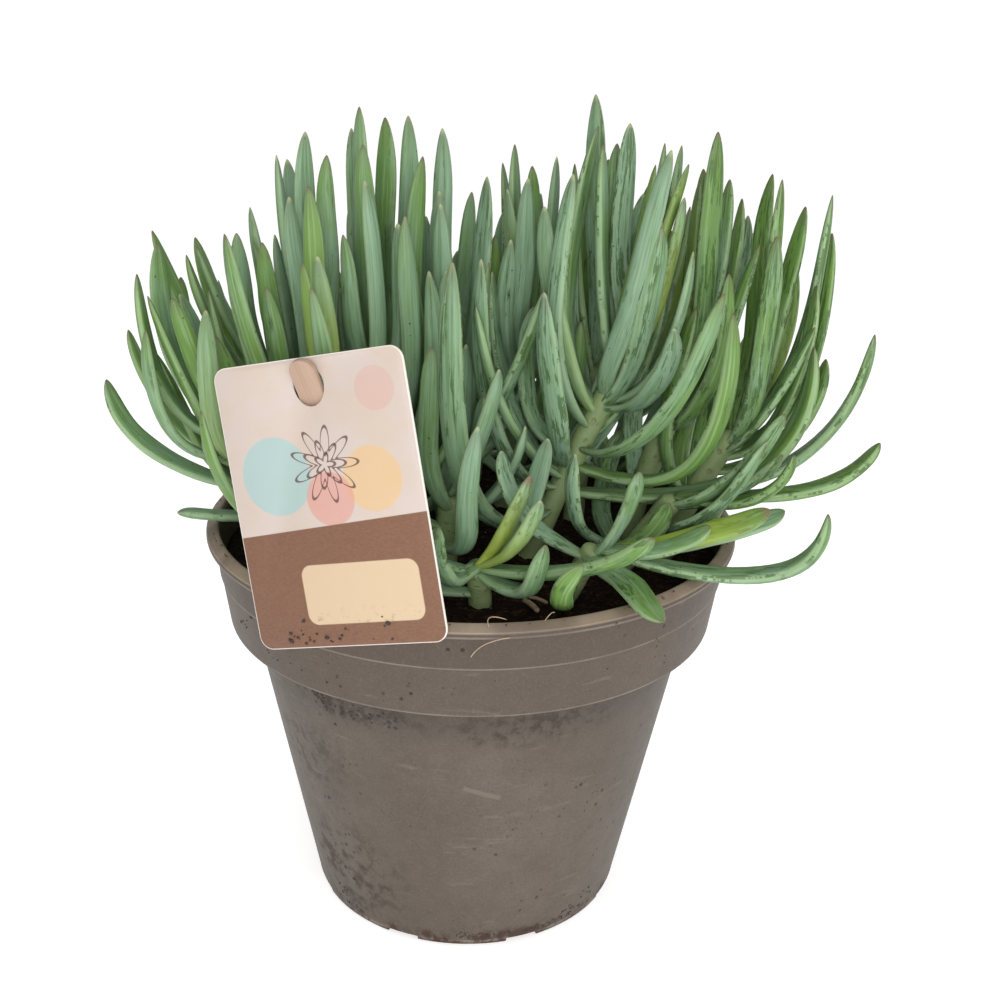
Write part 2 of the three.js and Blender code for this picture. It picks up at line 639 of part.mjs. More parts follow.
// One leaf: rings of the section along its middle line, closed at the root and drawn to a point at the tip
function leafGeometry({ curve, width, side }) {
  const bent = THREE.MathUtils.radToDeg(curve.getTangent(0).angleTo(curve.getTangent(1)));
  const { rings } = LEAF_RINGS.find(({ bend }) => bent <= bend);
  const positions = [];
  for (const s of rings) {
    const centre = curve.getPoint(s);
    const normal = curve.getTangent(s).cross(side).normalize();
    const across = width * widthShare(s);
    for (const [x, y] of LEAF_SECTION) {
      const point = centre.clone().addScaledVector(side, x * across);
      positions.push(...point.addScaledVector(normal, y * across * LEAF.flatness).toArray());
    }
  }
  const tip = positions.length / 3;
  positions.push(...curve.getPoint(1).toArray());
  const n = LEAF_SECTION.length;
  const index = [];
  for (let i = 1; i < n - 1; i += 1) index.push(0, i, i + 1);
  for (let ring = 0; ring < rings.length; ring += 1) {
    for (let i = 0; i < n; i += 1) {
      const [a, b] = [ring * n + i, ring * n + ((i + 1) % n)];
      if (ring === rings.length - 1) index.push(b, a, tip);
      else index.push(b, a, a + n, b, a + n, b + n);
    }
  }
  const geometry = new THREE.BufferGeometry();
  geometry.setAttribute('position', new THREE.Float32BufferAttribute(positions, 3));
  geometry.setIndex(index);
  return geometry;
}

function leafyStem(stem, leaves, number) {
  let plant = toSolid(stemTube(stem, STEM.radius));
  for (const leaf of leaves) plant = plant.add(toSolid(leafGeometry(leaf)));
  const name = `leafy_stem_${String(number).padStart(2, '0')}`;
  return piece(name, toGeometry(plant), material('#6f9480', 0.55));
}

// The stems with their middle lines, and the beads along them that leaves keep clear of
function prepareStems() {
  return STEMS.map((sizes) => {
    const curve = stemCurve(sizes);
    const beads = [];
    for (let i = 0; i < BEADS.stem; i += 1) {
      beads.push({ at: curve.getPoint(i / (BEADS.stem - 1)), radius: STEM.radius });
    }
    return { ...sizes, curve, beads };
  });
}

// Where the card and the stick are, for the leaves to keep clear of
function measureHolder(hanger) {
  hanger.updateMatrixWorld(true);
  const stick = hanger.getObjectByName('label_stick');
  const end = (z) => stick.localToWorld(new THREE.Vector3(0, 0, z));
  return {
    cardFrame: hanger.getObjectByName('label'),
    stickLine: new THREE.Line3(end(-STICK.depth), end(STICK.tipUp)),
  };
}

// The whole plant in its pot

const plantInPot = new THREE.Group();
const hanger = buildHanger();
const stems = prepareStems();
const leaves = growLeaves(stems, measureHolder(hanger));
plantInPot.add(piece('pot', potGeometry(), material('#7b7168', 0.5)));
plantInPot.add(piece('soil', soilGeometry(stems, hanger), material('#2f2620', 0.95)));
plantInPot.add(hanger);
stems.forEach((stem, i) => {
  plantInPot.add(leafyStem(stem, leaves.filter((leaf) => leaf.stem === stem), i + 1));
});

export default plantInPot;
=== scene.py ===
"""Potted blue chalksticks: finger-leaved succulent stems in a plastic nursery pot of peat, with a card label
that hangs on a flat wooden stick. The label leans on the front of the rim, on the -Y side."""

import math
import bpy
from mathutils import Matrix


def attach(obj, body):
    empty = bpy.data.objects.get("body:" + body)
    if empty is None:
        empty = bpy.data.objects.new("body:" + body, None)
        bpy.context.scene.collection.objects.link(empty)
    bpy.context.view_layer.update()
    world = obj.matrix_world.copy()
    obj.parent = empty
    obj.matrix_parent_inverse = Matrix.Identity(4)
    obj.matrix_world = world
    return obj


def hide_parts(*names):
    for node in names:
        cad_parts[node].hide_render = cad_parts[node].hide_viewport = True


bl_info = {
    "name": "Potted Blue Chalksticks",
    "version": (1, 0, 0),
    "blender": (4, 5, 0),
    "location": "View3D > Sidebar > Chalksticks",
    "description": "Builds a potted blue chalksticks plant with its nursery pot, peat and card label",
    "category": "Add Mesh",
}

from collections import namedtuple
from types import SimpleNamespace as Sizes

import bpy
import numpy as np
from mathutils import Matrix, Vector

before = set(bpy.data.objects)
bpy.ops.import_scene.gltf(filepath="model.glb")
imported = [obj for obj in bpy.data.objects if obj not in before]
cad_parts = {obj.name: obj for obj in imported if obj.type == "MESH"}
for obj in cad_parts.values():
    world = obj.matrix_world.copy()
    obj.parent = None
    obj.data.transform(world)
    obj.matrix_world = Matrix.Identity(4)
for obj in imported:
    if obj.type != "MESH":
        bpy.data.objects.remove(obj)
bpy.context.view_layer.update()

# The sizes below are in millimetres, as on the pot's drawing, and MM turns them into Blender's metres
MM = 0.001

# Pot
WALL = 1.4
LIP = Sizes(radius=85, inner=81, top=131.2, edge=129.2, under=127.4)
COLLAR = Sizes(
    top_radius=82.4, line_radius=80.9, line=116.2, line_step=0.35, bottom_radius=78.6, bottom=99.8,
)
BODY = Sizes(top_radius=71.4, foot_radius=51.5, foot_round=1.8)
BASE = Sizes(floor=4, recess=2.6, pad_radius=13, ring_inner=45.5)
DRAIN = Sizes(count=8, radius=4.2, circle=30, steps=24)
FOOT_GAP = Sizes(count=8, width=11, height=2)
POT_STEPS = 160
# Edges flatter than this many degrees are shaded smooth
SMOOTH = Sizes(pot=28, label=40)

# Peat
SOIL = Sizes(
    top=119, relief=0.7, grain=0.5, grain_reach=78, grain_fade=3, clearance=0.3, steps=260, rings=64,
)
CRUMBS = Sizes(
    reach=76, small_share=0.85, small=(0.8, 2.0), large=(2.2, 4.2), raised=0.15, tilt=0.5, variants=range(6),
)

# Label and stick
LABEL = Sizes(
    width=60, height=80.5, thickness=0.8, corner=4, edge_round=0.12, azimuth=-24, lean=8, roll=14.6,
    sideways=-5, above=32.8, rest_height=129.2, gap=0.4,
)
LABEL_HOLE = Sizes(up=32.5, width=9.8, height=11.4, steps=48)
STICK = Sizes(width=7.8, thickness=1.8, edge_round=0.25, tip_up=8, depth=100, slant=22)

# Stems and leaves
STEM = Sizes(radius=3.6, buried=8, sides=16, rings=40)
LEAF = Sizes(width=6.4, sides=14, rings=26)
# How wide a leaf is along its length, as (share of the length, share of the full width)
LEAF_PROFILE = (
    (0, 0.6), (0.1, 0.75), (0.25, 0.92), (0.45, 1), (0.7, 1), (0.82, 0.95), (0.9, 0.82), (0.95, 0.6),
    (0.98, 0.36), (1, 0.08),
)
# A spiral's lowest leaves have the first share of its length and its top ones the last share.
# A leaf that isn't clear is turned, which makes it steeper by a share of the turn, and then shortened
SPIRAL = Sizes(
    step=137.5, first=0.85, last=0.72, curl=(0.95, 0.45), upright=0.45,
    turns=(0, 8, -8, 16, -16, 24, -24, 34, -34), steeper=0.15, lengths=(1, 0.85, 0.7),
)
# How far a spiral leaf strays from its rule at most, in degrees, shares and millimetres
CHANCE = Sizes(azimuth=16, length=0.07, standing=8, curl=0.12, sway=5)
# Where each series of random draws starts
SEEDS = Sizes(spiral=20241, leaves=77, peat=31, dirt=5, chips=700)

# Beads along leaves and stems stand in for them where they must keep clear of each other
BEADS = Sizes(leaf=17, stem=24, sunk=6, crowding=0.8, gap=0.5)
CLEAR_OF = Sizes(soil=1.4, lip_side=0.5, lip_top=0.3, card=1)

# A spiral adds count leaves from share low of the stem up to its top. The first is start degrees from +X.
# They stand from spread degrees, low down, to close degrees, and the longest one has this length.
Spiral = namedtuple("Spiral", "count start low spread close length")
# Each leafy stem as (foot on the peat, top, how much of its lean comes late, its spiral, its own leaves),
# and each of these leaves as (height up the stem 0-1, degrees from +X, reach, rise, curl, sag, width)
STEMS = (
    ((-52, -6), (-74, -6, 158), 0.2, Spiral(9, 10, 0.45, 62, 82, 64), (
        (1, 158, 27, 58, 0.85, 0, 7), (0.95, -168, 29, 54, 0.9, 0, 6.7), (0.85, -153, 31, 44, 1.1, 0, 6.4),
        (0.6, -178, 50, 35, 0.7, 2, 7), (0.8, -108, 29, 56, 0.9, 0, 6.7), (0.95, 134, 39, 45, 0.7, 0, 6.1),
        (0.85, 126, 50, 47, 0.7, 0, 6.1), (0.55, -135, 25, 24, 0.6, 0, 6.1),
        (0.36, -154, 36, 9, 0.1, -2, 6.5), (0.7, 143, 60, 37, 0.9, 0, 6.4),
    )),
    ((-44, 20), (-60, 16, 162), 0.4, Spiral(11, 120, 0.4, 35, 84, 82), (
        (0.9, 168, 36, 51, 0.6, 0, 6.4), (0.95, -151, 21, 59, 0.6, 0, 6.4),
        (0.98, -121, 26, 61, 0.5, 0, 6.4), (1, -139, 12, 65, 0.4, 0, 7), (0.95, -95, 30, 61, 0.6, 0, 6.5),
        (0.8, -94, 43, 57, 0.8, 0, 6.5), (1, 120, 7, 49, 0.4, 0, 6.1),
    )),
    ((-34, -6), (-46, -4, 168), 0.4, Spiral(11, 235, 0.35, 40, 86, 88), (
        (0.95, 145, 18, 78, 0.5, 0, 6.7), (0.9, 120, 28, 77, 0.4, 0, 6.5), (1, 138, 9, 83, 0.3, 0, 7),
        (0.85, -101, 16, 78, 0.8, 0, 7.1), (0.85, -89, 26, 60, 0.7, 0, 6.1), (0.8, -96, 34, 62, 0.7, 0, 5.6),
        (0.95, -105, 2, 80, 0.3, 0, 6.4),
    )),
    ((-22, 18), (-30, 14, 170), 0.4, Spiral(14, 0, 0.1, 40, 86, 88), (
        (1, 151, 12, 80, 0.5, 0, 6.2), (1, -148, 8, 88, 0.5, 0, 6.7), (0.9, -105, 23, 84, 0.4, 0, 7),
        (1, 45, 3, 84, 0.4, 0, 7.1), (0.95, 51, 13, 86, 0.5, 0, 7), (0.85, -51, 17, 82, 0.5, 0, 7.1),
        (0.8, -78, 32, 68, 0.7, 0, 7.1), (0.85, -105, 34, 62, 0.6, 0, 6.2),
    )),
    ((-8, 10), (-12, 14, 158), 0.4, Spiral(14, -60, 0.1, 35, 82, 84), (
        (1, 82, 12, 92, 0.5, 0, 6.7), (0.95, -132, 2, 77, 0.4, 0, 6.2), (0.85, -83, 13, 79, 0.4, 0, 6.7),
        (0.95, 69, 22, 73, 0.5, 0, 6.1), (0.9, 24, 16, 82, 0.6, 0, 7), (0.7, -89, 26, 68, 0.5, 0, 6.1),
        (0.5, -43, 40, 72, 0.3, 0, 7.1),
    )),
    ((16, -6), (48, 0, 184), 0.15, Spiral(12, 30, 0.5, 50, 86, 84), (
        (0.32, -129, 51, 88, 1.1, 6, 8.5), (0.42, -159, 29, 75, 1, 0, 7), (0.48, 156, 27, 62, 0.9, 0, 6.7),
        (0.45, -148, 33, 60, 0.5, 0, 6.5), (0.52, -111, 27, 61, 0.8, 0, 7.6),
        (0.74, -157, 21, 67, 0.5, 0, 7.1), (0.92, 176, 8, 71, 0.75, 0, 7.4), (1, 116, 9, 71, 0.5, 0, 7),
        (0.78, -44, 21, 60, 0.55, 0, 7.6), (0.92, -31, 11, 50, 0.5, 0, 5.8), (1, 0, 14, 51, 0.5, 0, 6.2),
        (0.8, -20, 25, 50, 0.8, 0, 6.5), (0.78, -54, 33, 33, 0.8, 0, 6.4), (0.52, -27, 50, 56, 1.2, 8, 8),
        (0.4, -1, 77, 49, 1.15, 6, 9), (0.9, 104, 15, 71, 0.6, 0, 6.7),
    )),
    ((10, 40), (16, 36, 164), 0.4, Spiral(14, 100, 0.1, 35, 82, 82), (
        (0.9, 121, 13, 77, 0.6, 0, 6.1), (1, 180, 5, 80, 0.5, 0, 6.7), (0.9, -114, 12, 72, 0.5, 0, 5.8),
        (1, -78, 10, 75, 0.4, 0, 6.2), (0.95, -2, 9, 79, 0.5, 0, 7), (0.8, -132, 15, 62, 0.6, 0, 6.1),
        (0.8, -103, 24, 63, 0.6, 0, 6.1), (0.9, -93, 26, 78, 0.4, 0, 6.5), (0.3, -23, 13, 40, 0.5, 0, 6.5),
    )),
    ((34, 28), (40, 28, 174), 0.4, Spiral(14, 160, 0.1, 40, 84, 88), (
        (0.9, -167, 9, 71, 0.5, 0, 6.5), (1, -111, 9, 88, 0.5, 0, 7.4), (1, 0, 18, 73, 0.6, 0, 6.7),
        (0.9, -28, 21, 70, 0.5, 0, 6.5), (1, -54, 17, 59, 0.3, 0, 6.5), (1, 23, 26, 71, 0.6, 0, 7),
        (0.7, -122, 17, 62, 0.5, 0, 6.5), (0.35, -144, 10, 51, 0.4, 0, 6.5), (0.3, 19, 6, 45, 0.4, 0, 6.5),
        (0.8, 111, 13, 64, 0.4, 0, 6.5),
    )),
    ((50, 10), (66, 12, 168), 0.3, Spiral(14, 60, 0.1, 40, 84, 88), (
        (0.9, 34, 4, 75, 0.6, 0, 7), (0.95, 61, 14, 74, 0.6, 0, 6.8), (1, -55, 11, 86, 0.6, 0, 7.3),
        (1, 9, 12, 70, 0.5, 0, 6.7), (0.85, 18, 21, 71, 0.7, 0, 6.7), (0.8, -53, 25, 56, 0.8, 0, 6.7),
        (0.9, 38, 30, 61, 0.7, 0, 6.4), (0.3, 102, 6, 59, 0.4, 0, 6.5),
    )),
    ((60, 4), (84, 4, 160), 0.15, Spiral(11, 90, 0.45, 55, 82, 76), (
        (1, 66, 13, 80, 0.6, 0, 6.8), (0.95, -13, 9, 83, 0.7, 0, 7), (0.9, -52, 15, 70, 0.8, 0, 6.7),
        (1, 39, 22, 70, 0.6, 0, 6.7), (0.95, 18, 27, 77, 0.8, 0, 7), (0.85, 18, 33, 69, 1, 0, 6.8),
        (0.8, 0, 27, 57, 0.9, 0, 6.7), (0.6, 0, 51, 52, 0.8, 4, 7.9), (0.7, 6, 36, 37, 0.8, 2, 7.2),
        (0.8, 40, 31, 62, 0.7, 0, 6.7), (0.3, 78, 26, 55, 0.5, 0, 6.5),
    )),
    ((42, -16), (64, -14, 144), 0.1, Spiral(9, 100, 0.35, 30, 70, 58), (
        (0.9, -3, 34, 19, 0.5, 2, 6.6), (1, -23, 36, 20, 0.8, 4, 6.9), (1, 2, 62, 19, 0.8, 4, 7.7),
        (0.7, -15, 21, 11, 0.8, 4, 6.9),
    )),
    ((26, -36), (38, -42, 138), 0.1, Spiral(5, 150, 0.35, 20, 34, 52), (
        (0.95, 2, 52, 13, 0.2, 4, 7.6), (0.9, 16, 63, 8, 0.3, 4, 7.2), (1, -16, 66, 20, 1, 14, 8.1),
        (0.85, -69, 47, 0, -0.3, -4, 8.1), (0.9, -12, 13, 28, 0.5, 0, 6.9),
    )),
    ((4, -42), (3, -48, 134), 0.4, Spiral(6, 40, 0.35, 20, 44, 50), (
        (1, -136, 17, 17, 1.2, 6, 7.9), (0.9, -47, 26, 16, 1, 8, 7.6), (1, -24, 15, 30, 0.3, 0, 7.9),
        (0.95, -28, 55, 22, 0.5, 2, 8.5),
    )),
    ((-8, -20), (-6, -22, 146), 0.4, Spiral(14, -30, 0.15, 30, 80, 66), ()),
    ((-34, 48), (-46, 58, 160), 0.4, Spiral(21, 30, 0.1, 25, 84, 80), ()),
    ((-2, 62), (2, 72, 152), 0.4, Spiral(19, 60, 0.1, 25, 80, 70), ()),
    ((46, 48), (60, 58, 160), 0.4, Spiral(21, 0, 0.1, 25, 84, 82), (
        (0.3, -32, 19, 38, 0.5, 0, 6.5), (0.3, -60, 7, 39, 0.5, 0, 6.5),
    )),
)

# Young leaves that are still yellow-green, as (stem, leaf): how yellow
YOUNG = {
    (1, 4): 0.35, (1, 5): 0.6, (1, 6): 0.5, (2, 1): 0.3, (2, 3): 0.3, (3, 3): 0.3, (3, 4): 1, (3, 5): 0.75,
    (6, 5): 0.2, (6, 9): 1, (6, 10): 0.7, (7, 2): 0.7, (7, 5): 0.6, (8, 2): 0.35, (8, 3): 0.5, (9, 0): 0.4,
    (10, 9): 0.35, (12, 0): 0.75, (13, 2): 0.8,
}
# How much of their bloom the leaves of some stems have lost, by stem
RUBBED = {5: 0.2, 6: 0.4, 8: 0.4, 9: 0.7, 10: 0.8, 11: 0.7, 12: 0.3, 13: 0.2}
# Leaves with a dry reddish tip, as (stem, leaf)
DRY_TIPS = {(12, 0), (13, 2)}
# Each leaf's own looks: its twist in radians, its tone from bloom to green, which rises from the inner to
# the outer radius, and how rubbed it is at most. Some spiral leaves above young_from on a stem are young
LOOKS = Sizes(
    twist=0.7, tone=0.1, tone_spread=0.55, outer_tone=0.35, inner=45, outer=105, rub=0.5, young_from=0.85,
    young_share=0.4, young=(0.35, 0.75),
)


def paint(name, description, default):
    """A colour that the sidebar shows."""
    return bpy.props.FloatVectorProperty(
        name=name, description=description, subtype="COLOR", size=3, min=0, max=1, default=default,
    )


class PotSettings(bpy.types.PropertyGroup):
    """Colours of the pot, the peat and the dirt on the pot."""

    plastic: paint("Plastic", "Colour of the pot", (0.088, 0.069, 0.053))
    dust: paint("Dust", "Colour of the dust film on the pot", (0.112, 0.090, 0.071))
    peat: paint("Peat", "Colour of the damp peat", (0.016, 0.010, 0.007))
    crumbs: bpy.props.IntProperty(
        name="Crumbs", description="Peat crumbs that lie on the peat", default=520, min=0, max=3000,
    )


class LabelSettings(bpy.types.PropertyGroup):
    """Colours of the card and its stick."""

    paper: paint("Paper", "Colour of the card's upper part", (0.515, 0.437, 0.398))
    kraft: paint("Kraft", "Colour of the card's lower part", (0.168, 0.078, 0.043))
    wood: paint("Wood", "Colour of the stick", (0.41, 0.28, 0.21))


class PlantSettings(bpy.types.PropertyGroup):
    """Colours of the leaves and stems."""

    bloom: paint("Bloom", "Blue-grey green of leaves with a thick waxy bloom", (0.200, 0.316, 0.205))
    green: paint("Green", "Green of leaves with little bloom", (0.125, 0.235, 0.048))
    young: paint("Young", "Yellow-green of the young leaves", (0.33, 0.42, 0.045))
    stalk: paint("Stalk", "Pale green of the stems", (0.20, 0.275, 0.115))


# Shader maths


class Value:
    """A number socket: an expression on it adds the Math nodes that work it out."""

    def __init__(self, graph, socket):
        self.graph = graph
        self.socket = socket

    def __add__(self, other):
        return self.graph.maths("ADD", self, other)

    def __radd__(self, other):
        return self.graph.maths("ADD", other, self)

    def __sub__(self, other):
        return self.graph.maths("SUBTRACT", self, other)

    def __rsub__(self, other):
        return self.graph.maths("SUBTRACT", other, self)

    def __mul__(self, other):
        return self.graph.maths("MULTIPLY", self, other)

    def __rmul__(self, other):
        return self.graph.maths("MULTIPLY", other, self)

    def __pow__(self, other):
        return self.graph.maths("POWER", self, other)


class Graph:
    """One material's nodes, with a Principled shader at its end."""

    def __init__(self, name, **constants):
        self.material = bpy.data.materials.new(name)
        self.material.use_nodes = True
        self.tree = self.material.node_tree
        self.shader = self.tree.nodes["Principled BSDF"]
        for socket, value in constants.items():
            self.shader.inputs[socket.replace("_", " ")].default_value = value

    def node(self, kind, inputs=(), output=0, **settings):
        """Adds a node: its settings first, then its sockets by name or number, as values or links."""
        node = self.tree.nodes.new(kind)
        for name, value in settings.items():
            setattr(node, name, value)
        for name, value in dict(inputs).items():
            self.join(value, node.inputs[name])
        return Value(self, node.outputs[output])

    def join(self, value, socket):
        """Links a Value to the socket, or sets a plain number, colour or vector on it."""
        if isinstance(value, Value):
            self.tree.links.new(value.socket, socket)
        elif socket.type == "RGBA":
            socket.default_value = (*value, 1)
        else:
            socket.default_value = value

    def maths(self, operation, a, b=0.0):
        return self.node("ShaderNodeMath", {0: a, 1: b}, operation=operation)

    def place(self):
        return self.node("ShaderNodeTexCoord", output="Object")

    def attributes(self, *names):
        """The numbers that set_attributes kept in the mesh under these names."""
        return [self.node("ShaderNodeAttribute", output="Fac", attribute_name=name) for name in names]

    def stretched(self, vector, scale):
        """The vector with each axis scaled, for patterns that run lengthwise."""
        return self.node("ShaderNodeVectorMath", {0: vector, 1: scale}, operation="MULTIPLY")

    def vector(self, x, y, z):
        return self.node("ShaderNodeCombineXYZ", {0: x, 1: y, 2: z})

    def split(self, vector, *sizes):
        """The vector's first parts, each times its size."""
        parts = [self.node("ShaderNodeSeparateXYZ", {0: vector}, output=i) for i in range(len(sizes))]
        return [part * size for part, size in zip(parts, sizes)]

    def noise(self, vector, scale, detail, roughness=0.5, distortion=0.0):
        inputs = {"Vector": vector, "Scale": scale, "Detail": detail, "Roughness": roughness}
        return self.node("ShaderNodeTexNoise", {**inputs, "Distortion": distortion})

    def cells(self, vector, scale):
        """How far it is to the middle of the nearest of many scattered cells."""
        return self.node("ShaderNodeTexVoronoi", {"Vector": vector, "Scale": scale}, output="Distance")

    def between(self, value, low, high):
        """0 at low and 1 at high, with a soft step between; low may be the larger."""
        inputs = {"Value": value, "From Min": low, "From Max": high}
        return self.node("ShaderNodeMapRange", inputs, interpolation_type="SMOOTHSTEP")

    def patch(self, place, centre, size):
        """1 in the middle of a soft egg round a centre, and 0 outside it; both are in millimetres."""
        inverse = tuple(1000 / side for side in size)
        offset = tuple(-middle / side for middle, side in zip(centre, size))
        inputs = {0: place, 1: inverse, 2: offset}
        local = self.node("ShaderNodeVectorMath", inputs, operation="MULTIPLY_ADD")
        length = self.node("ShaderNodeVectorMath", {0: local}, output="Value", operation="LENGTH")
        return self.between(length, 1.0, 0.3)

    def mix(self, share, a, b):
        """Colour a where share is 0 and b where it is 1."""
        return self.node("ShaderNodeMix", {0: share, 6: a, 7: b}, output=2, data_type="RGBA")

    def coats(self, color, *coats):
        """The colour under coats of others, the first one lowest, each as (how much it covers, colour)."""
        for share, coat in coats:
            color = self.mix(share, color, coat)
        return color

    def finish(self, color, roughness, height=None, depth=0.0005, strength=0.6):
        """Feeds the shader; height is in shares of depth, which is in metres."""
        self.join(color, self.shader.inputs["Base Color"])
        self.join(roughness, self.shader.inputs["Roughness"])
        if height is not None:
            bump = self.node("ShaderNodeBump", {"Height": height, "Distance": depth, "Strength": strength})
            self.join(bump, self.shader.inputs["Normal"])
        return self.material


# Modelling helpers


def nothing_selected():
    bpy.ops.object.select_all(action="DESELECT")


def only(*pieces):
    """Selects the pieces alone, with the first one active."""
    nothing_selected()
    for piece in pieces:
        piece.select_set(True)
    bpy.context.view_layer.objects.active = pieces[0]


def finished(piece, name, node=None, material=None, angle=None):
    """Puts the piece's place into its mesh, names it, gives it its material and smooths its edges below an
    angle in degrees. It rides with the pot and stands for its CAD node, if it has one."""
    only(piece)
    bpy.ops.object.transform_apply(location=True, rotation=True, scale=True)
    piece.name = name
    piece.data.name = name
    if material:
        piece.data.materials.append(material)
    if angle:
        bpy.ops.object.shade_smooth_by_angle(angle=math.radians(angle))
    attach(piece, "root")
    if node:
        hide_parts(node)


def apply_modifier(piece, kind, **settings):
    only(piece)
    modifier = piece.modifiers.new(kind.title(), kind)
    for name, value in settings.items():
        setattr(modifier, name, value)
    bpy.ops.object.modifier_apply(modifier=modifier.name)


def points_of(piece):
    """The mesh's points as an array of rows."""
    found = np.empty(len(piece.data.vertices) * 3)
    piece.data.vertices.foreach_get("co", found)
    return found.reshape(-1, 3)


def set_points(piece, points):
    piece.data.vertices.foreach_set("co", np.ascontiguousarray(points, dtype=np.float32).ravel())
    piece.data.update()


def set_attributes(piece, **attributes):
    """Keeps numbers for each point, which a material reads by name."""
    for name, values in attributes.items():
        made = piece.data.attributes.new(name, "FLOAT", "POINT")
        made.data.foreach_set("value", np.broadcast_to(values, len(piece.data.vertices)).astype(np.float32))


def close_ends():
    """In edit mode: fills the mesh's open ends, points its faces outwards and leaves edit mode."""
    bpy.ops.mesh.select_all(action="DESELECT")
    bpy.ops.mesh.select_non_manifold()
    bpy.ops.mesh.fill_holes(sides=0)
    bpy.ops.mesh.select_all(action="SELECT")
    bpy.ops.mesh.normals_make_consistent(inside=False)
    bpy.ops.object.mode_set(mode="OBJECT")


def lathe(profile, steps):
    """Turns (radius, height) pairs in millimetres round Z: a ring, extruded and resized from pair to pair.
    The first and last rings are closed with a face each."""
    nothing_selected()
    (radius, height), *others = profile
    bpy.ops.mesh.primitive_circle_add(vertices=steps, radius=radius * MM, location=(0, 0, height * MM))
    piece = bpy.context.object
    bpy.ops.object.transform_apply(location=True)
    bpy.ops.object.mode_set(mode="EDIT")
    for next_radius, next_height in others:
        rise = (0, 0, (next_height - height) * MM)
        bpy.ops.mesh.extrude_region_move(TRANSFORM_OT_translate={"value": rise})
        grown = next_radius / radius
        bpy.ops.transform.resize(value=(grown, grown, 1), center_override=(0, 0, next_height * MM))
        radius, height = next_radius, next_height
    close_ends()
    return piece


def polar(radius, angle, height=0):
    """The place at a radius and an angle in radians from +X, round the pot's axis."""
    return Vector((radius * math.cos(angle), radius * math.sin(angle), height))


def copy_of(piece):
    """A copy with a mesh of its own."""
    double = piece.copy()
    double.data = piece.data.copy()
    bpy.context.collection.objects.link(double)
    return double


def joined(pieces):
    """Joins the pieces into the first one."""
    only(*pieces)
    bpy.ops.object.join()
    return bpy.context.object


def removed(piece):
    bpy.data.objects.remove(piece, do_unlink=True)


class Draw:
    """A small repeatable generator: the same draws every time."""

    def __init__(self, seed):
        self.state = seed

    def share(self):
        self.state = self.state * 16807 % 2147483647
        return self.state / 2147483647

    def around(self, spread):
        return spread * (2 * self.share() - 1)

    def between(self, low, high):
        return low + (high - low) * self.share()


# Pot

# The moulded mark on the pot's front, in millimetres, with its slope as run to fall
MARK = Sizes(height=68, aside=6, run=0.94, fall=0.36)


def inner(radius):
    """The wall's inner radius where this is the outer one."""
    return radius - WALL


def pot_profile():
    """The pot's section from the middle of its underside, up outside, over the lip and down inside."""
    foot, body, pad = BODY.foot_radius, BODY.top_radius, BASE.pad_radius
    collar, line, high = COLLAR.bottom_radius, COLLAR.line_radius, COLLAR.top_radius
    rim, mouth = LIP.radius, LIP.inner
    return (
        (0.5, 0), (pad, 0), (pad + 2, BASE.recess), (BASE.ring_inner - 1, BASE.recess), (BASE.ring_inner, 0),
        (foot - BODY.foot_round, 0), (foot - 0.9, 0.25), (foot - 0.3, 0.9), (foot, BODY.foot_round + 0.4),
        (foot + 0.35, 3.2), (foot + 0.45, 4), (body, COLLAR.bottom),
        (collar - 0.6, COLLAR.bottom), (collar - 0.15, COLLAR.bottom + 0.25), (collar, COLLAR.bottom + 0.8),
        (line - 0.05, COLLAR.line - 0.2), (line + 0.3, COLLAR.line + 0.1),
        (line + COLLAR.line_step + 0.05, COLLAR.line + 0.5), (high, LIP.under),
        (rim - 0.5, LIP.under + 0.05), (rim - 0.1, LIP.under + 0.35), (rim, LIP.under + 0.8),
        (rim, LIP.edge), (rim - 0.25, LIP.edge + 0.55), (rim - 0.8, LIP.edge + 0.85),
        (mouth + 1.4, LIP.top - 0.1), (mouth + 0.7, LIP.top),
        (mouth + 0.2, LIP.top - 0.2), (mouth, LIP.top - 0.7),
        (inner(line), COLLAR.line), (inner(collar), COLLAR.bottom + WALL),
        (inner(body), COLLAR.bottom + WALL), (inner(foot), BASE.floor), (0.5, BASE.floor),
    )


def cut_foot(pot):
    """Cuts the drain holes in the floor and the notches in the foot ring."""
    cutters = []
    for i in range(DRAIN.count):
        nothing_selected()
        bpy.ops.mesh.primitive_cylinder_add(
            vertices=DRAIN.steps, radius=DRAIN.radius * MM, depth=3 * BASE.floor * MM,
            location=polar(DRAIN.circle * MM, math.tau * i / DRAIN.count),
        )
        cutters.append(bpy.context.object)
    reach = BODY.foot_radius - BASE.ring_inner + 4
    middle = BASE.ring_inner + reach / 2 - 2
    for i in range(FOOT_GAP.count):
        angle = math.tau * (i + 0.5) / FOOT_GAP.count
        nothing_selected()
        bpy.ops.mesh.primitive_cube_add(
            size=1, location=polar(middle * MM, angle), rotation=(0, 0, angle),
            scale=(reach * MM, FOOT_GAP.width * MM, 2 * FOOT_GAP.height * MM),
        )
        cutters.append(bpy.context.object)
    cutter = joined(cutters)
    apply_modifier(pot, "BOOLEAN", object=cutter, operation="DIFFERENCE", solver="EXACT")
    removed(cutter)


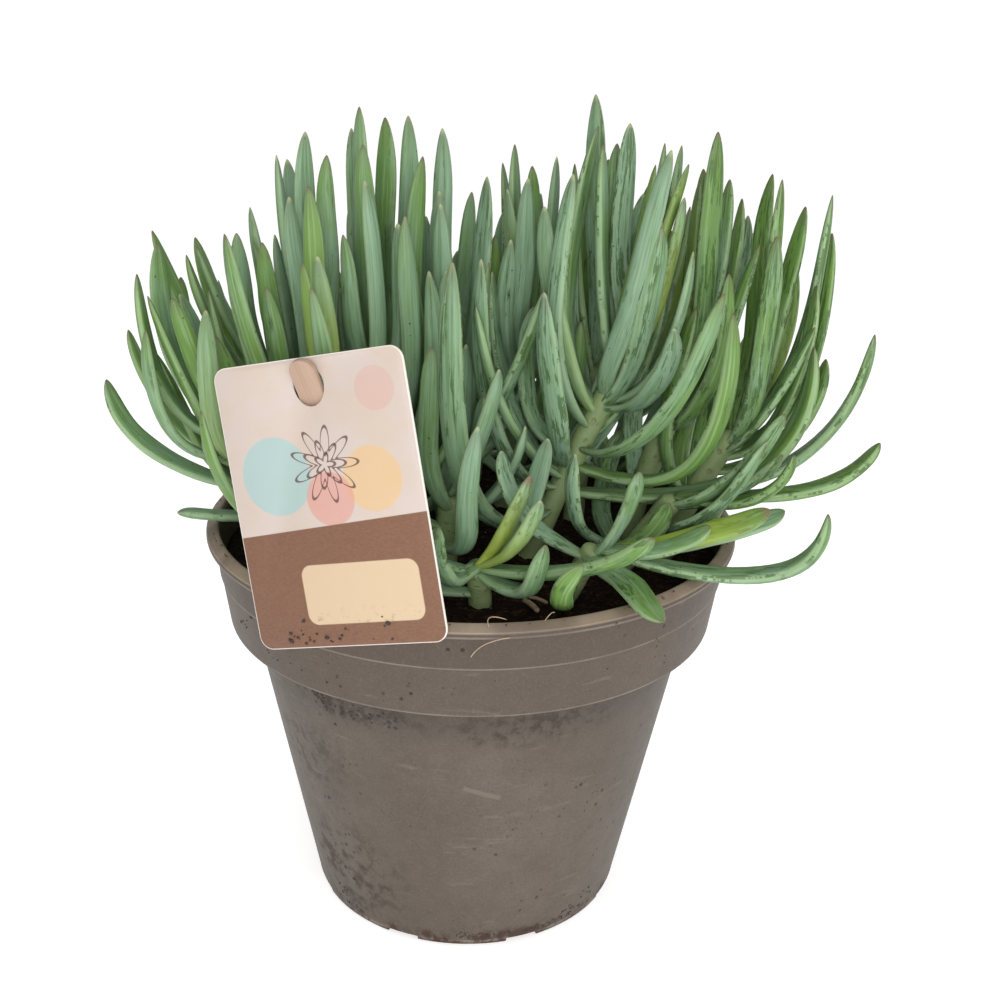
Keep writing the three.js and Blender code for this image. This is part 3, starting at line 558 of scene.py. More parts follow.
def edge_highlights(g, place, height):
    """Painted highlights, in patches: on the lip's top and along the collar, under the lip and above the
    foot.
    """
    highlight_patches = 0.45 + 0.55 * g.between(g.noise(place, 45, 3), 0.35, 0.6)
    on_lip = g.between(height, LIP.edge - 0.2, LIP.edge + 0.5)
    # Each lit line as (height, how far from it the highlight begins, how far it is full)
    edges = (
        (COLLAR.line + 0.35, 0.38, 0.15), (COLLAR.bottom + 0.45, 0.42, 0.18), (LIP.under + 0.7, 0.45, 0.2),
        (BODY.foot_round + 0.2, 0.7, 0.3),
    )
    lines = 0.0
    for middle, begins, full in edges:
        lines = lines + g.between(g.maths("ABSOLUTE", height - middle), begins, full)
    return on_lip * highlight_patches, lines * highlight_patches


def smeared_peat(g, place, height):
    """Peat smeared on the wall: a little everywhere, more at the very foot, and most in a few patches."""
    # Each patch as (middle, size, how much)
    patches = (
        ((-34, -64, 92), (34, 30, 8), 1), ((22, -68, 90), (38, 30, 9), 1),
        ((-36, -44, 22), (26, 30, 26), 0.9), ((-48, -44, 66), (20, 30, 18), 0.45),
    )
    share = 0.12 + 0.7 * g.between(height, 9, 1)
    for middle, size, most in patches:
        share = share + most * g.patch(place, middle, size)
    return share * g.between(g.noise(place, 190, 4, 0.7), 0.44, 0.62)


def moulded_mark(g, x, y, height):
    """1 on the mark on the pot's front: a short ridge that falls to the right."""
    up = height - MARK.height
    along = g.maths("ABSOLUTE", x * MARK.run - up * MARK.fall - MARK.aside)
    across = g.maths("ABSOLUTE", x * MARK.fall + up * MARK.run)
    return g.between(along, 6.6, 5.6) * g.between(across, 1.3, 0.5) * g.between(y, -50, -55)


def plastic_material(settings):
    """Satin taupe plastic: dusty in clouds, browner on the collar, painted shade below it, painted
    highlights, scuffed and dirty.
    """
    g = Graph("pot_plastic", Specular_IOR_Level=0.3)
    place = g.place()
    x, y, height = g.split(place, 1000, 1000, 1000)
    cloud = g.noise(place, 20, 5, 0.65)
    scuffs = g.noise(g.stretched(place, (60, 60, 300)), 1, 3, 0.6)
    grain = g.noise(place, 1500, 3, 0.6)
    below, line = COLLAR.bottom, COLLAR.line
    # Painted shade: the body darkens just under the collar, which overhangs it
    shaded = g.between(height, below - 22, below - 4) * g.between(height, below, below - 0.4)
    lip, lines = edge_highlights(g, place, height)
    smear = smeared_peat(g, place, height)
    dots = g.between(g.cells(place, 260), 0.22, 0.13) * g.between(g.noise(place, 38, 3, 0.6), 0.56, 0.66)
    specks = g.between(g.cells(place, 720), 0.24, 0.14) * g.between(g.noise(place, 60, 3, 0.6), 0.54, 0.68)
    rusty = g.noise(place, 110, 4, 0.7) - 0.12 * g.between(height, 2, 8)
    rust = g.between(rusty, 0.46, 0.54) * g.between(height, 8, 4)
    mark = moulded_mark(g, x, y, height)
    color = g.coats(
        settings.plastic,
        (g.between(cloud, 0.4, 0.72), settings.dust),
        (0.55 * g.between(height, below - 0.2, below + 0.2), (0.080, 0.059, 0.045)),
        (0.5 * g.between(height, line - 0.2, line + 0.3), (0.068, 0.050, 0.038)),
        # Painted shade under the collar
        (0.65 * shaded, (0.046, 0.037, 0.030)),
        (0.22 * g.between(scuffs, 0.62, 0.72), (0.21, 0.18, 0.15)),
        (0.22 * g.between(grain, 0.5, 0.64), (0.05, 0.038, 0.028)),
        (0.07 * g.between(grain, 0.46, 0.34), (0.30, 0.26, 0.21)),
        # Painted highlights on the lip's top and along the edges, broken up in patches
        (0.8 * lip, (0.34, 0.26, 0.19)),
        (0.4 * lines, (0.32, 0.26, 0.21)),
        (0.7 * smear, (0.042, 0.031, 0.024)),
        (0.9 * dots, (0.014, 0.009, 0.006)),
        (0.6 * specks, (0.030, 0.021, 0.015)),
        (0.85 * rust, (0.045, 0.017, 0.010)),
        # Painted highlight on the moulded ridge, which the bump also raises
        (0.4 * mark, (0.19, 0.16, 0.13)),
    )
    relief = 0.12 * grain + 0.25 * smear + 0.1 * scuffs + mark
    return g.finish(color, 0.46 + 0.12 * cloud + 0.25 * smear, relief, 0.0007, 0.45)


class CHALKSTICKS_OT_pot(bpy.types.Operator):
    """Adds the nursery pot."""

    bl_idname = "chalksticks.pot"
    bl_label = "Nursery Pot"

    def execute(self, context):
        pot = lathe(pot_profile(), POT_STEPS)
        cut_foot(pot)
        material = plastic_material(context.scene.chalksticks_pot)
        finished(pot, "nursery_pot", "pot", material, SMOOTH.pot)
        return {"FINISHED"}


# Peat


def soil_height(x, y):
    """How much higher than the peat's level it lies here, in millimetres."""
    fade = 1 - (np.hypot(x, y) / COLLAR.bottom_radius) ** 2
    return SOIL.relief * fade * (np.sin(x / 7 + 1) * np.cos(y / 9) + 0.5 * np.sin((x + y) / 5))


def soil_grain(x, y):
    """A finer unevenness of the peat's top, which fades out near the wall, in millimetres."""
    wave = SOIL.grain * np.sin(x * 1.9 + 2 * np.sin(y * 0.7)) * np.sin(y * 2.3 + x * 0.4)
    return wave * np.clip((SOIL.grain_reach - np.hypot(x, y)) / SOIL.grain_fade, 0, 1)


def soil_profile():
    """The peat's section: up along the inside of the wall, and in over its top in narrow rings."""
    floor = BASE.floor + SOIL.clearance
    shoulder = COLLAR.bottom + WALL + SOIL.clearance
    walls = (BODY.foot_radius, BODY.top_radius, COLLAR.bottom_radius, COLLAR.line_radius + 0.3)
    foot, body, collar, line = (inner(radius) - SOIL.clearance for radius in walls)
    top = [(line * share, SOIL.top) for share in np.linspace(1, 0.01, SOIL.rings)]
    return ((0.5, floor), (foot, floor), (body, shoulder), (collar, shoulder), *top)


def peat_material(settings):
    """Damp peat: near black, with brown fibres and small pale bits."""
    g = Graph("peat", Specular_IOR_Level=0.05)
    place = g.place()
    lump = g.noise(place, 260, 4, 0.7)
    fibre = g.between(g.noise(g.stretched(place, (1, 2.4, 1.6)), 700, 2, 0.6), 0.58, 0.7)
    pale = g.between(g.cells(place, 330), 0.16, 0.1) * g.between(g.noise(place, 120, 2), 0.6, 0.66)
    color = g.coats(
        settings.peat,
        (g.between(lump, 0.5, 0.68), (0.065, 0.036, 0.021)),
        (0.5 * fibre, (0.10, 0.057, 0.033)),
        (0.7 * pale, (0.42, 0.36, 0.28)),
    )
    return g.finish(color, 0.9 - 0.25 * fibre, lump + 0.3 * fibre, 0.0012, 0.9)


def chip(variant):
    """One crumb about a unit across: a coarse ball pulled out of shape."""
    draw = Draw(SEEDS.chips + variant)
    nothing_selected()
    bpy.ops.mesh.primitive_ico_sphere_add(subdivisions=1, radius=0.5)
    piece = bpy.context.object
    points = points_of(piece)
    for point in points:
        point *= draw.between(0.55, 1.15)
    points *= (1, draw.between(0.5, 0.9), draw.between(0.4, 0.75))
    set_points(piece, points)
    return piece


def scatter(name, variants, places, material):
    """Copies crumbs to places and joins them. A place is (position, normal, size, turn), in millimetres and
    radians."""
    chips = [chip(variant) for variant in variants]
    pieces = []
    for i, (position, normal, size, turn) in enumerate(places):
        piece = copy_of(chips[i % len(chips)])
        lying = Vector(normal).to_track_quat("Z", "Y").to_matrix().to_4x4()
        sized = Matrix.Rotation(turn, 4, "Z") @ Matrix.Scale(size * MM, 4)
        piece.data.transform(Matrix.Translation(position * MM) @ lying @ sized)
        pieces.append(piece)
    finished(joined(pieces), name, material=material)
    for spare in chips:
        removed(spare)


class CHALKSTICKS_OT_peat(bpy.types.Operator):
    """Adds the peat and the crumbs that lie on it."""

    bl_idname = "chalksticks.peat"
    bl_label = "Peat"

    def execute(self, context):
        settings = context.scene.chalksticks_pot
        material = peat_material(settings)
        peat = lathe(soil_profile(), SOIL.steps)
        points = points_of(peat) / MM
        on_top = points[:, 2] > SOIL.top - 1
        x, y = points[on_top, :2].T
        points[on_top, 2] += soil_height(x, y) + soil_grain(x, y)
        set_points(peat, points * MM)
        finished(peat, "peat", "soil", material)
        bpy.ops.object.shade_smooth()
        draw = Draw(SEEDS.peat)
        places = []
        for _ in range(settings.crumbs):
            radius = CRUMBS.reach * math.sqrt(draw.share())
            angle = math.tau * draw.share()
            x, y = radius * math.cos(angle), radius * math.sin(angle)
            size = draw.between(*(CRUMBS.small if draw.share() < CRUMBS.small_share else CRUMBS.large))
            z = SOIL.top + float(soil_height(x, y)) + CRUMBS.raised * size
            tilt = (draw.around(CRUMBS.tilt), draw.around(CRUMBS.tilt), 1)
            places.append((Vector((x, y, z)), tilt, size, draw.between(0, math.tau)))
        scatter("peat_crumbs", CRUMBS.variants, places, material)
        return {"FINISHED"}


# Label and stick


def hanger_matrix():
    """The card's own frame: X across it, Z up it and -Y towards the viewer."""
    yaw = math.radians(LABEL.azimuth)
    rim = Vector((LIP.radius * math.sin(yaw), -LIP.radius * math.cos(yaw), LABEL.rest_height))
    hung = Vector((LABEL.sideways, -LABEL.thickness / 2 - LABEL.gap, LABEL.above))
    return (
        Matrix.Translation(rim) @ Matrix.Rotation(yaw, 4, "Z")
        @ Matrix.Rotation(-math.radians(LABEL.lean), 4, "X") @ Matrix.Translation(hung)
        @ Matrix.Rotation(-math.radians(LABEL.roll), 4, "Y")
    )


def stick_matrix():
    """The stick's own frame: Z up it, with the middle of the card's hole at the origin."""
    slant = math.radians(STICK.slant)
    return hanger_matrix() @ Matrix.Translation((0, 0, LABEL_HOLE.up)) @ Matrix.Rotation(slant, 4, "X")


def hang(piece, matrix):
    """Moves a piece that was modelled in millimetres at the origin to its place in metres."""
    piece.data.transform(Matrix.Scale(MM, 4) @ matrix)
    piece.data.update()


def map_flat(piece, width, height):
    """A UV map that runs once across the piece's X and once up its Z."""
    layer = piece.data.uv_layers.active
    layer.name = "Card"
    for loop in piece.data.loops:
        place = piece.data.vertices[loop.vertex_index].co
        layer.data[loop.index].uv = (place.x / width + 0.5, place.z / height + 0.5)


def rounded_plate(width, height, thickness, corner):
    """A plate that stands on its edge in the XZ plane, with rounded corners."""
    nothing_selected()
    bpy.ops.mesh.primitive_plane_add(size=1, location=(0, -thickness / 2, 0), rotation=(math.pi / 2, 0, 0))
    plate = bpy.context.object
    plate.scale = (width, height, 1)
    bpy.ops.object.transform_apply(location=True, rotation=True, scale=True)
    bpy.ops.object.mode_set(mode="EDIT")
    bpy.ops.mesh.select_all(action="SELECT")
    bpy.ops.mesh.bevel(offset=corner, segments=10, affect="VERTICES")
    bpy.ops.mesh.select_all(action="SELECT")
    bpy.ops.mesh.extrude_region_move(TRANSFORM_OT_translate={"value": (0, thickness, 0)})
    bpy.ops.mesh.select_all(action="SELECT")
    bpy.ops.mesh.normals_make_consistent(inside=False)
    bpy.ops.object.mode_set(mode="OBJECT")
    return plate


def card_material(settings):
    """Coated card: cream with plain printed shapes above, brown with a bare field below, and pale edges."""
    g = Graph("label_card", Specular_IOR_Level=0.35)
    across, up = g.split(g.node("ShaderNodeUVMap", uv_map="Card"), LABEL.width, LABEL.height)
    flat = g.vector(across, up, 0)
    blot = g.noise(flat, 0.07, 3, 0.5)
    speckle = g.noise(flat, 2.6, 4, 0.75)
    fibres = g.noise(g.vector(across * 0.8, up * 2.2, 7), 1.2, 4, 0.7)

    def from_point(x, y):
        return ((across - x) ** 2 + (up - y) ** 2) ** 0.5

    def disc(x, y, radius):
        """1 inside a round spot at x, y, and 0 outside it."""
        return g.between(from_point(x, y), radius + 0.25, radius - 0.25)

    def field(x, y, width, height, corner):
        """1 inside a rounded field round x, y."""
        dx = g.maths("MAXIMUM", g.maths("ABSOLUTE", across - x) - (width / 2 - corner))
        dy = g.maths("MAXIMUM", g.maths("ABSOLUTE", up - y) - (height / 2 - corner))
        return g.between((dx ** 2 + dy ** 2) ** 0.5, corner + 0.2, corner - 0.2)

    def rosette(x, y, radius, petals):
        """1 on the outline of a plain rosette of petals round x, y."""
        turn = g.maths("ARCTAN2", up - y, across - x)
        edge = (g.maths("COSINE", turn * petals) * 0.3 + 0.7) * radius
        return g.between(g.maths("ABSOLUTE", from_point(x, y) - edge), 0.62, 0.3)

    printed = g.coats(
        settings.paper,
        (0.7 * g.between(blot, 0.35, 0.68), (0.51, 0.41, 0.33)),
        (0.35 * g.between(speckle, 0.5, 0.75), (0.61, 0.55, 0.51)),
        (0.66 * disc(15, 49, 11), (0.25, 0.45, 0.45)),
        (0.75 * disc(45, 46, 9), (0.60, 0.40, 0.20)),
        (0.66 * disc(31, 41.5, 7.5), (0.56, 0.25, 0.205)),
        (0.3 * disc(50, 70, 6), (0.56, 0.25, 0.205)),
        *((0.85 * rosette(31, 51, *ring), (0.09, 0.035, 0.025)) for ring in ((10.5, 9), (6.6, 7), (3.2, 5))),
    )
    kraft = g.coats(
        settings.kraft,
        (g.between(fibres, 0.35, 0.7), (0.195, 0.10, 0.062)),
        (0.6 * g.between(speckle, 0.5, 0.72), (0.10, 0.047, 0.03)),
    )
    seam = 32.6 + 0.055 * across
    soiled = g.between(g.noise(flat, 0.4, 5, 0.75), 0.54, 0.66) * g.between(up, 14, 2)
    face = g.coats(
        printed,
        (g.between(up - seam, 0.15, -0.15), kraft),
        (0.96 * field(36, 15, 37, 17, 3.2), (0.57, 0.43, 0.285)),
        (0.6 * soiled, (0.1, 0.06, 0.04)),
    )
    wide, high = LABEL.width, LABEL.height
    inside = field(wide / 2, high / 2, wide - 0.4, high - 0.4, LABEL.corner - 0.2)
    [printable] = g.attributes("printed")
    color = g.mix(printable * inside, (0.78, 0.74, 0.68), face)
    return g.finish(color, 0.45 + 0.1 * speckle, speckle, 0.00012, 0.3)


def wood_material(settings):
    """Bare birch with fine grain along the stick."""
    g = Graph("stick_wood")
    across, along = g.split(g.node("ShaderNodeUVMap", uv_map="Card"), 1, 1)
    grain = g.noise(g.vector(across * 26, along * 2.5, 0), 1, 4, 0.6, 0.4)
    pores = g.noise(g.vector(across * 60, along * 22, 4), 1, 2)
    color = g.coats(
        settings.wood,
        (g.between(grain, 0.35, 0.7), (0.35, 0.235, 0.165)),
        (0.4 * g.between(pores, 0.62, 0.72), (0.40, 0.22, 0.12)),
    )
    return g.finish(color, 0.62, grain + 0.4 * pores, 0.00015, 0.5)


class CHALKSTICKS_OT_label(bpy.types.Operator):
    """Adds the card label and the wooden stick that it hangs on."""

    bl_idname = "chalksticks.label"
    bl_label = "Label and Stick"

    def execute(self, context):
        settings = context.scene.chalksticks_label
        card = rounded_plate(LABEL.width, LABEL.height, LABEL.thickness, LABEL.corner)
        nothing_selected()
        bpy.ops.mesh.primitive_cylinder_add(
            vertices=LABEL_HOLE.steps, radius=0.5, depth=10, location=(0, 0, LABEL_HOLE.up),
            rotation=(math.pi / 2, 0, 0), scale=(LABEL_HOLE.width, LABEL_HOLE.height, 1),
        )
        punch = bpy.context.object
        apply_modifier(card, "BOOLEAN", object=punch, operation="DIFFERENCE", solver="EXACT")
        removed(punch)
        apply_modifier(card, "BEVEL", width=LABEL.edge_round, segments=2, limit_method="ANGLE")
        map_flat(card, LABEL.width, LABEL.height)
        # The front is printed, and the card's sides, which begin behind its rounded edge, are bare
        sides = LABEL.edge_round - LABEL.thickness / 2
        set_attributes(card, printed=points_of(card)[:, 1] < sides - 0.02)
        hang(card, hanger_matrix())
        finished(card, "card_label", "label", card_material(settings), SMOOTH.label)

        length = STICK.depth + STICK.tip_up
        stick = rounded_plate(STICK.width, length, STICK.thickness, 0.499 * STICK.width)
        stick.data.transform(Matrix.Translation((0, 0, length / 2 - STICK.depth)))
        apply_modifier(stick, "BEVEL", width=STICK.edge_round, segments=2, limit_method="ANGLE")
        map_flat(stick, STICK.width, length)
        hang(stick, stick_matrix())
        finished(stick, "wooden_stick", "label_stick", wood_material(settings), SMOOTH.label)
        return {"FINISHED"}


# Growth: the same rule places the stems and leaves in the solids


def unit(vector):
    return vector / np.linalg.norm(vector)


def lerp(a, b, share):
    return a + (b - a) * share


class Curve:
    """A quadratic Bezier curve through numpy points."""

    def __init__(self, start, bend, end):
        self.start, self.bend, self.end = start, bend, end

    def at(self, share):
        share = np.asarray(share)[..., None]
        return (1 - share) ** 2 * self.start + 2 * (1 - share) * share * self.bend + share ** 2 * self.end

    def heading(self, share):
        share = np.asarray(share)[..., None]
        slope = (1 - share) * (self.bend - self.start) + share * (self.end - self.bend)
        return slope / np.linalg.norm(slope, axis=-1, keepdims=True)


class Stem:
    """A stem's middle line, its beads, its spiral and the sizes of its own leaves."""

    def __init__(self, number, foot, top, bow, spiral, leaves):
        self.number, self.spiral, self.leaves = number, spiral, leaves
        foot = np.array([*foot, SOIL.top - STEM.buried], dtype=float)
        top = np.array(top, dtype=float)
        bend = lerp((foot + top) / 2, np.array([*foot[:2], top[2]]), np.array([bow, bow, bow / 2]))
        self.curve = Curve(foot, bend, top)
        self.beads = self.curve.at(np.linspace(0, 1, BEADS.stem))
        self.radii = np.full(BEADS.stem, float(STEM.radius))


class Leaf:
    """A leaf's middle line: out from the stem along its reach, then up its rise. upright turns the rise from
    the stem's heading, at 0, to straight up, at 1, and sway bends the leaf to its side."""

    def __init__(self, stem, sizes, upright, mark=None, sway=0):
        share, azimuth, reach, rise, curl, sag, self.width = sizes
        self.stem, self.share, self.mark = stem, share, mark
        root = stem.curve.at(share)
        up = np.array([0, 0, 1.0])
        axis = unit(lerp(stem.curve.heading(share), up, upright))
        out = np.array([math.cos(math.radians(azimuth)), math.sin(math.radians(azimuth)), 0])
        out = unit(out - axis * (out @ axis))
        corner = root + out * reach
        tip = corner + axis * rise
        self.side = np.cross(axis, out)
        bend = lerp((root + tip) / 2, corner, curl) - up * sag + self.side * sway
        self.curve = Curve(root, bend, tip)
        shares = np.linspace(0, 1, BEADS.leaf)
        self.beads = self.curve.at(shares)
        self.radii = self.width / 2 * np.interp(shares, *zip(*LEAF_PROFILE))


def touches_holder(beads, radii, card, stick):
    """True where a bead would touch the peat, the pot's lip, the card or its stick."""
    from_axis = np.hypot(beads[:, 0], beads[:, 1])
    low = beads[:, 2] - radii
    wall = LIP.inner - 2 * WALL
    in_peat = (from_axis < wall) & (low < SOIL.top + CLEAR_OF.soil)
    over_lip = (from_axis >= wall - radii) & (from_axis <= LIP.radius + CLEAR_OF.lip_side + radii)
    on_lip = over_lip & (low < LIP.top + CLEAR_OF.lip_top)
    local = beads @ card[:3, :3].T + card[:3, 3]
    beyond = np.hypot(
        np.maximum(0, np.abs(local[:, 0]) - LABEL.width / 2),
        np.maximum(0, np.abs(local[:, 2]) - LABEL.height / 2),
    )
    on_card = (np.abs(local[:, 1]) < radii + CLEAR_OF.card) & (beyond < radii)
    start, end = stick
    along = np.clip((beads - start) @ (end - start) / ((end - start) @ (end - start)), 0, 1)
    nearest = start + along[:, None] * (end - start)
    on_stick = np.linalg.norm(beads - nearest, axis=1) < radii + STICK.width / 2 + BEADS.gap
    return bool(np.any(in_peat | on_lip | on_card | on_stick))


def meets(one, other, first, share, gap):
    """True where beads of both, from the first on, are nearer than a share of their radii and a gap."""
    apart = np.linalg.norm(one.beads[first:, None] - other.beads[None, first:], axis=2)
    return bool(np.any(apart < share * (one.radii[first:, None] + other.radii[None, first:]) + gap))


def is_clear(leaf, placed, stems, card, stick):
    """True where a leaf is free of the pot, the card, other stems and the leaves that stand. Leaves of one
    stem may crowd each other, and meet near the stem."""
    if touches_holder(leaf.beads, leaf.radii, card, stick):
        return False
    for stem in stems:
        if stem is not leaf.stem and meets(leaf, stem, 0, 1, BEADS.gap):
            return False
    for other in placed:
        limits = (BEADS.sunk, BEADS.crowding, 0) if other.stem is leaf.stem else (0, 1, BEADS.gap)
        if meets(leaf, other, *limits):
            return False
    return True


def add_spiral_leaf(stem, i, placed, stems, card, stick, draw):
    """Adds leaf i of a spiral where it is clear, or leaves it out. Leaves are shorter low down and shortest
    at the top, where they also stand steeper and straighter."""
    count, start, low, spread, close, length = stem.spiral
    u = i / (count - 1)
    azimuth = start + i * SPIRAL.step + draw.around(CHANCE.azimuth)
    grown = lerp(lerp(SPIRAL.first, 1, min(1, 2.5 * u)), SPIRAL.last, max(0, 2 * u - 1))
    whole = length * grown * (1 + draw.around(CHANCE.length))
    standing = lerp(spread, close, u ** 0.8) + draw.around(CHANCE.standing)
    curl = lerp(*SPIRAL.curl, u) + draw.around(CHANCE.curl)
    sway = draw.around(CHANCE.sway)
    for shorter in SPIRAL.lengths:
        for turn in SPIRAL.turns:
            angle = math.radians(standing + abs(turn) * SPIRAL.steeper)
            reach, rise = whole * shorter * math.cos(angle), whole * shorter * math.sin(angle)
            sizes = (lerp(low, 1, u), azimuth + turn, reach, rise, curl, 0, LEAF.width)
            leaf = Leaf(stem, sizes, SPIRAL.upright, sway=sway)
            if is_clear(leaf, placed, stems, card, stick):
                placed.append(leaf)
                return


def grow_leaves(stems):
    """The leaves that the photograph shows, and then each stem's spiral, a leaf of each stem in turn."""
    placed = [Leaf(stem, own, 1, (stem.number, i)) for stem in stems for i, own in enumerate(stem.leaves)]
    card = np.array(hanger_matrix().inverted())
    stick = [np.array(stick_matrix() @ Vector((0, 0, z))) for z in (-STICK.depth, STICK.tip_up)]
    draw = Draw(SEEDS.spiral)
    for i in range(max(stem.spiral.count for stem in stems)):
        for stem in stems:
            if i < stem.spiral.count:
                add_spiral_leaf(stem, i, placed, stems, card, stick, draw)
    return placed


# Leaves and stems as shapes


def leaf_width(share):
    """The leaf's outline as one smooth line through its points."""
    at, width = (np.array(column, dtype=float) for column in zip(*LEAF_PROFILE))
    slope = np.gradient(width, at)
    i = np.clip(np.searchsorted(at, share, side="right") - 1, 0, len(at) - 2)
    span = at[i + 1] - at[i]
    t = (share - at[i]) / span
    return (
        (2 * t**3 - 3 * t**2 + 1) * width[i] + (t**3 - 2 * t**2 + t) * span * slope[i]
        + (3 * t**2 - 2 * t**3) * width[i + 1] + (t**3 - t**2) * span * slope[i + 1]
    )


def straight_finger(sides, rings, width_at, section, material):
    """A closed finger along Z from 0 to 1: one ring, extruded in steps that shrink towards the tip, and then
    pressed into its section and width."""
    nothing_selected()
    heights = 1 - (1 - np.linspace(0, 1, rings)) ** 1.7
    bpy.ops.mesh.primitive_circle_add(vertices=sides, radius=0.5)
    piece = bpy.context.object
    bpy.ops.object.mode_set(mode="EDIT")
    for low, high in zip(heights, heights[1:]):
        bpy.ops.mesh.extrude_region_move(TRANSFORM_OT_translate={"value": (0, 0, high - low)})
    bpy.ops.mesh.merge(type="CENTER")
    close_ends()
    bpy.ops.object.shade_smooth()
    points = points_of(piece)
    angle = np.arctan2(points[:, 1], points[:, 0])
    edge = np.hypot(points[:, 0], points[:, 1]) / 0.5
    across, deep = section(angle)
    wide = width_at(points[:, 2]) * edge
    set_attributes(piece, across=across * 2 * edge, around=(angle / math.tau) % 1, along=points[:, 2])
    points[:, 0] = across * wide
    points[:, 1] = deep * wide
    set_points(piece, points)
    piece.data.materials.append(material)
    return piece


def leaf_section(angle):
    """A half-round under side and a nearly flat upper side with a shallow groove, as shares of the width."""
    rise = np.sin(angle)
    upper = 0.235 * np.abs(rise) ** 0.55 * (1 - 0.22 * np.abs(rise) ** 8)
    lower = -0.3 * np.abs(rise) ** 0.95
    return 0.5 * np.cos(angle), np.where(rise > 0, upper, lower)


def stalk_width(share):
    """Full width to just below the top, which is rounded off."""
    return np.sqrt(np.clip((1.002 - share) / 0.06, 0, 1))


def stalk_section(angle):
    return 0.5 * np.cos(angle), 0.5 * np.sin(angle)


def laid_along(finger, curve, side, width, wave, twist=0.0):
    """A copy of the straight finger, laid along the curve: its X along side and its Y square to both. wave
    shifts its slight unevenness, and twist turns it along its length, in radians."""
    piece = copy_of(finger)
    points = points_of(piece)
    share = points[:, 2]
    heading = curve.heading(share)
    normal = np.cross(heading, side)
    normal /= np.linalg.norm(normal, axis=1, keepdims=True)
    across = np.cross(normal, heading)
    swell = 1 + 0.03 * np.sin(wave + 9 * share) + 0.02 * np.sin(2.3 * wave + 23 * share)
    turn = twist * share
    x = (points[:, 0] * np.cos(turn) - points[:, 1] * np.sin(turn)) * width * swell
    y = (points[:, 0] * np.sin(turn) + points[:, 1] * np.cos(turn)) * width * swell
    drift = (np.sin(1.7 * wave + 6 * share) * share * (1 - share) * 5 + 1.5 * share ** 8) * np.sign(twist)
    set_points(piece, (curve.at(share) + (x + drift)[:, None] * across + y[:, None] * normal) * MM)
    return piece


def leaf_material(settings):
    """Waxy finger leaves: a blue-grey bloom over green, with fine lines along the leaf, pale edges, dark
    dashes where the bloom is rubbed off, and dark spots. tone, rub, young and dry differ between leaves."""
    g = Graph("leaf", Specular_IOR_Level=0.3)
    place = g.place()
    along, across, around, tone, rub, young, dry = g.attributes(
        "along", "across", "around", "tone", "rub", "young", "dry"
    )
    upper = g.between(around, 0.5, 0.49)
    seed = tone * 61 + upper * 4
    # A leaf laid flat, about 8 mm across and 70 mm long
    u = across * 4
    v = along * 70
    cloud = g.noise(g.vector(u * 0.16, v * 0.07, seed), 1, 3, 0.6)
    lines = g.noise(g.vector(u, v * 0.04, seed), 1, 2, 0.55)
    fine = g.noise(g.vector(u * 2.2, v * 0.12, seed + 5), 1, 3, 0.6)
    patches = g.noise(g.vector(u * 0.1, v * 0.05, seed + 9), 1, 2)
    dashes = g.noise(g.vector(u * 0.75, v * 0.1, seed), 1, 5, 0.72)
    rubbed = g.between(dashes + 0.04 * rub, 0.56, 0.6) * g.between(patches + 0.5 * rub, 0.7, 0.84)
    spots = g.between(g.cells(place, 300), 0.13, 0.08) * g.between(g.noise(place, 70, 2), 0.54, 0.64)
    rim = g.maths("ABSOLUTE", across)
    bare = g.between(cloud + 1.4 * tone + 0.25 * along - 0.65, 0.4, 1.1)
    point = g.mix(g.between(tone, 0.3, 0.5), (0.40, 0.43, 0.23), (0.14, 0.10, 0.06))
    color = g.coats(
        settings.bloom,
        (bare, settings.green),
        (0.4 * g.between(along, 0.35, 0.02), (0.20, 0.29, 0.11)),
        (0.5 * g.between(lines, 0.52, 0.66), (0.085, 0.18, 0.05)),
        (0.3 * g.between(fine, 0.5, 0.62), (0.075, 0.16, 0.055)),
        (0.35 * g.between(lines, 0.46, 0.34), (0.31, 0.45, 0.27)),
        (0.4 * g.between(rim, 0.86, 0.97), (0.36, 0.48, 0.27)),
        (0.75 * rubbed, (0.04, 0.09, 0.018)),
        (young * g.between(along, 1.15, 0.35), settings.young),
        (0.8 * spots, (0.030, 0.040, 0.018)),
        (0.35 * g.between(along, 0.91, 0.99), (0.125, 0.13, 0.07)),
        (0.7 * g.between(along, 0.98, 0.997), point),
        (0.7 * dry * g.between(along, 0.93, 0.99), (0.24, 0.13, 0.10)),
    )
    relief = lines + 0.5 * fine + 0.5 * cloud - 0.4 * rubbed
    return g.finish(color, 0.58 - 0.1 * bare - 0.1 * rubbed, relief, 0.00022, 0.45)


def stalk_material(settings):
    """Pale green stem, browner low down, with scars where leaves fell."""
    g = Graph("stalk")
    along, around = g.attributes("along", "around")
    scars = g.between(g.cells(g.vector(around * 5, along * 13, 0), 1), 0.26, 0.16)
    mottle = g.noise(g.place(), 260, 4, 0.6)
    color = g.coats(
        settings.stalk,
        (g.between(mottle, 0.35, 0.7), (0.23, 0.30, 0.13)),
        (0.45 * scars, (0.14, 0.13, 0.06)),
        (0.4 * g.between(along, 0.35, 0.05), (0.16, 0.17, 0.08)),
    )
    return g.finish(color, 0.6, mottle - 0.8 * scars, 0.0006, 0.6)


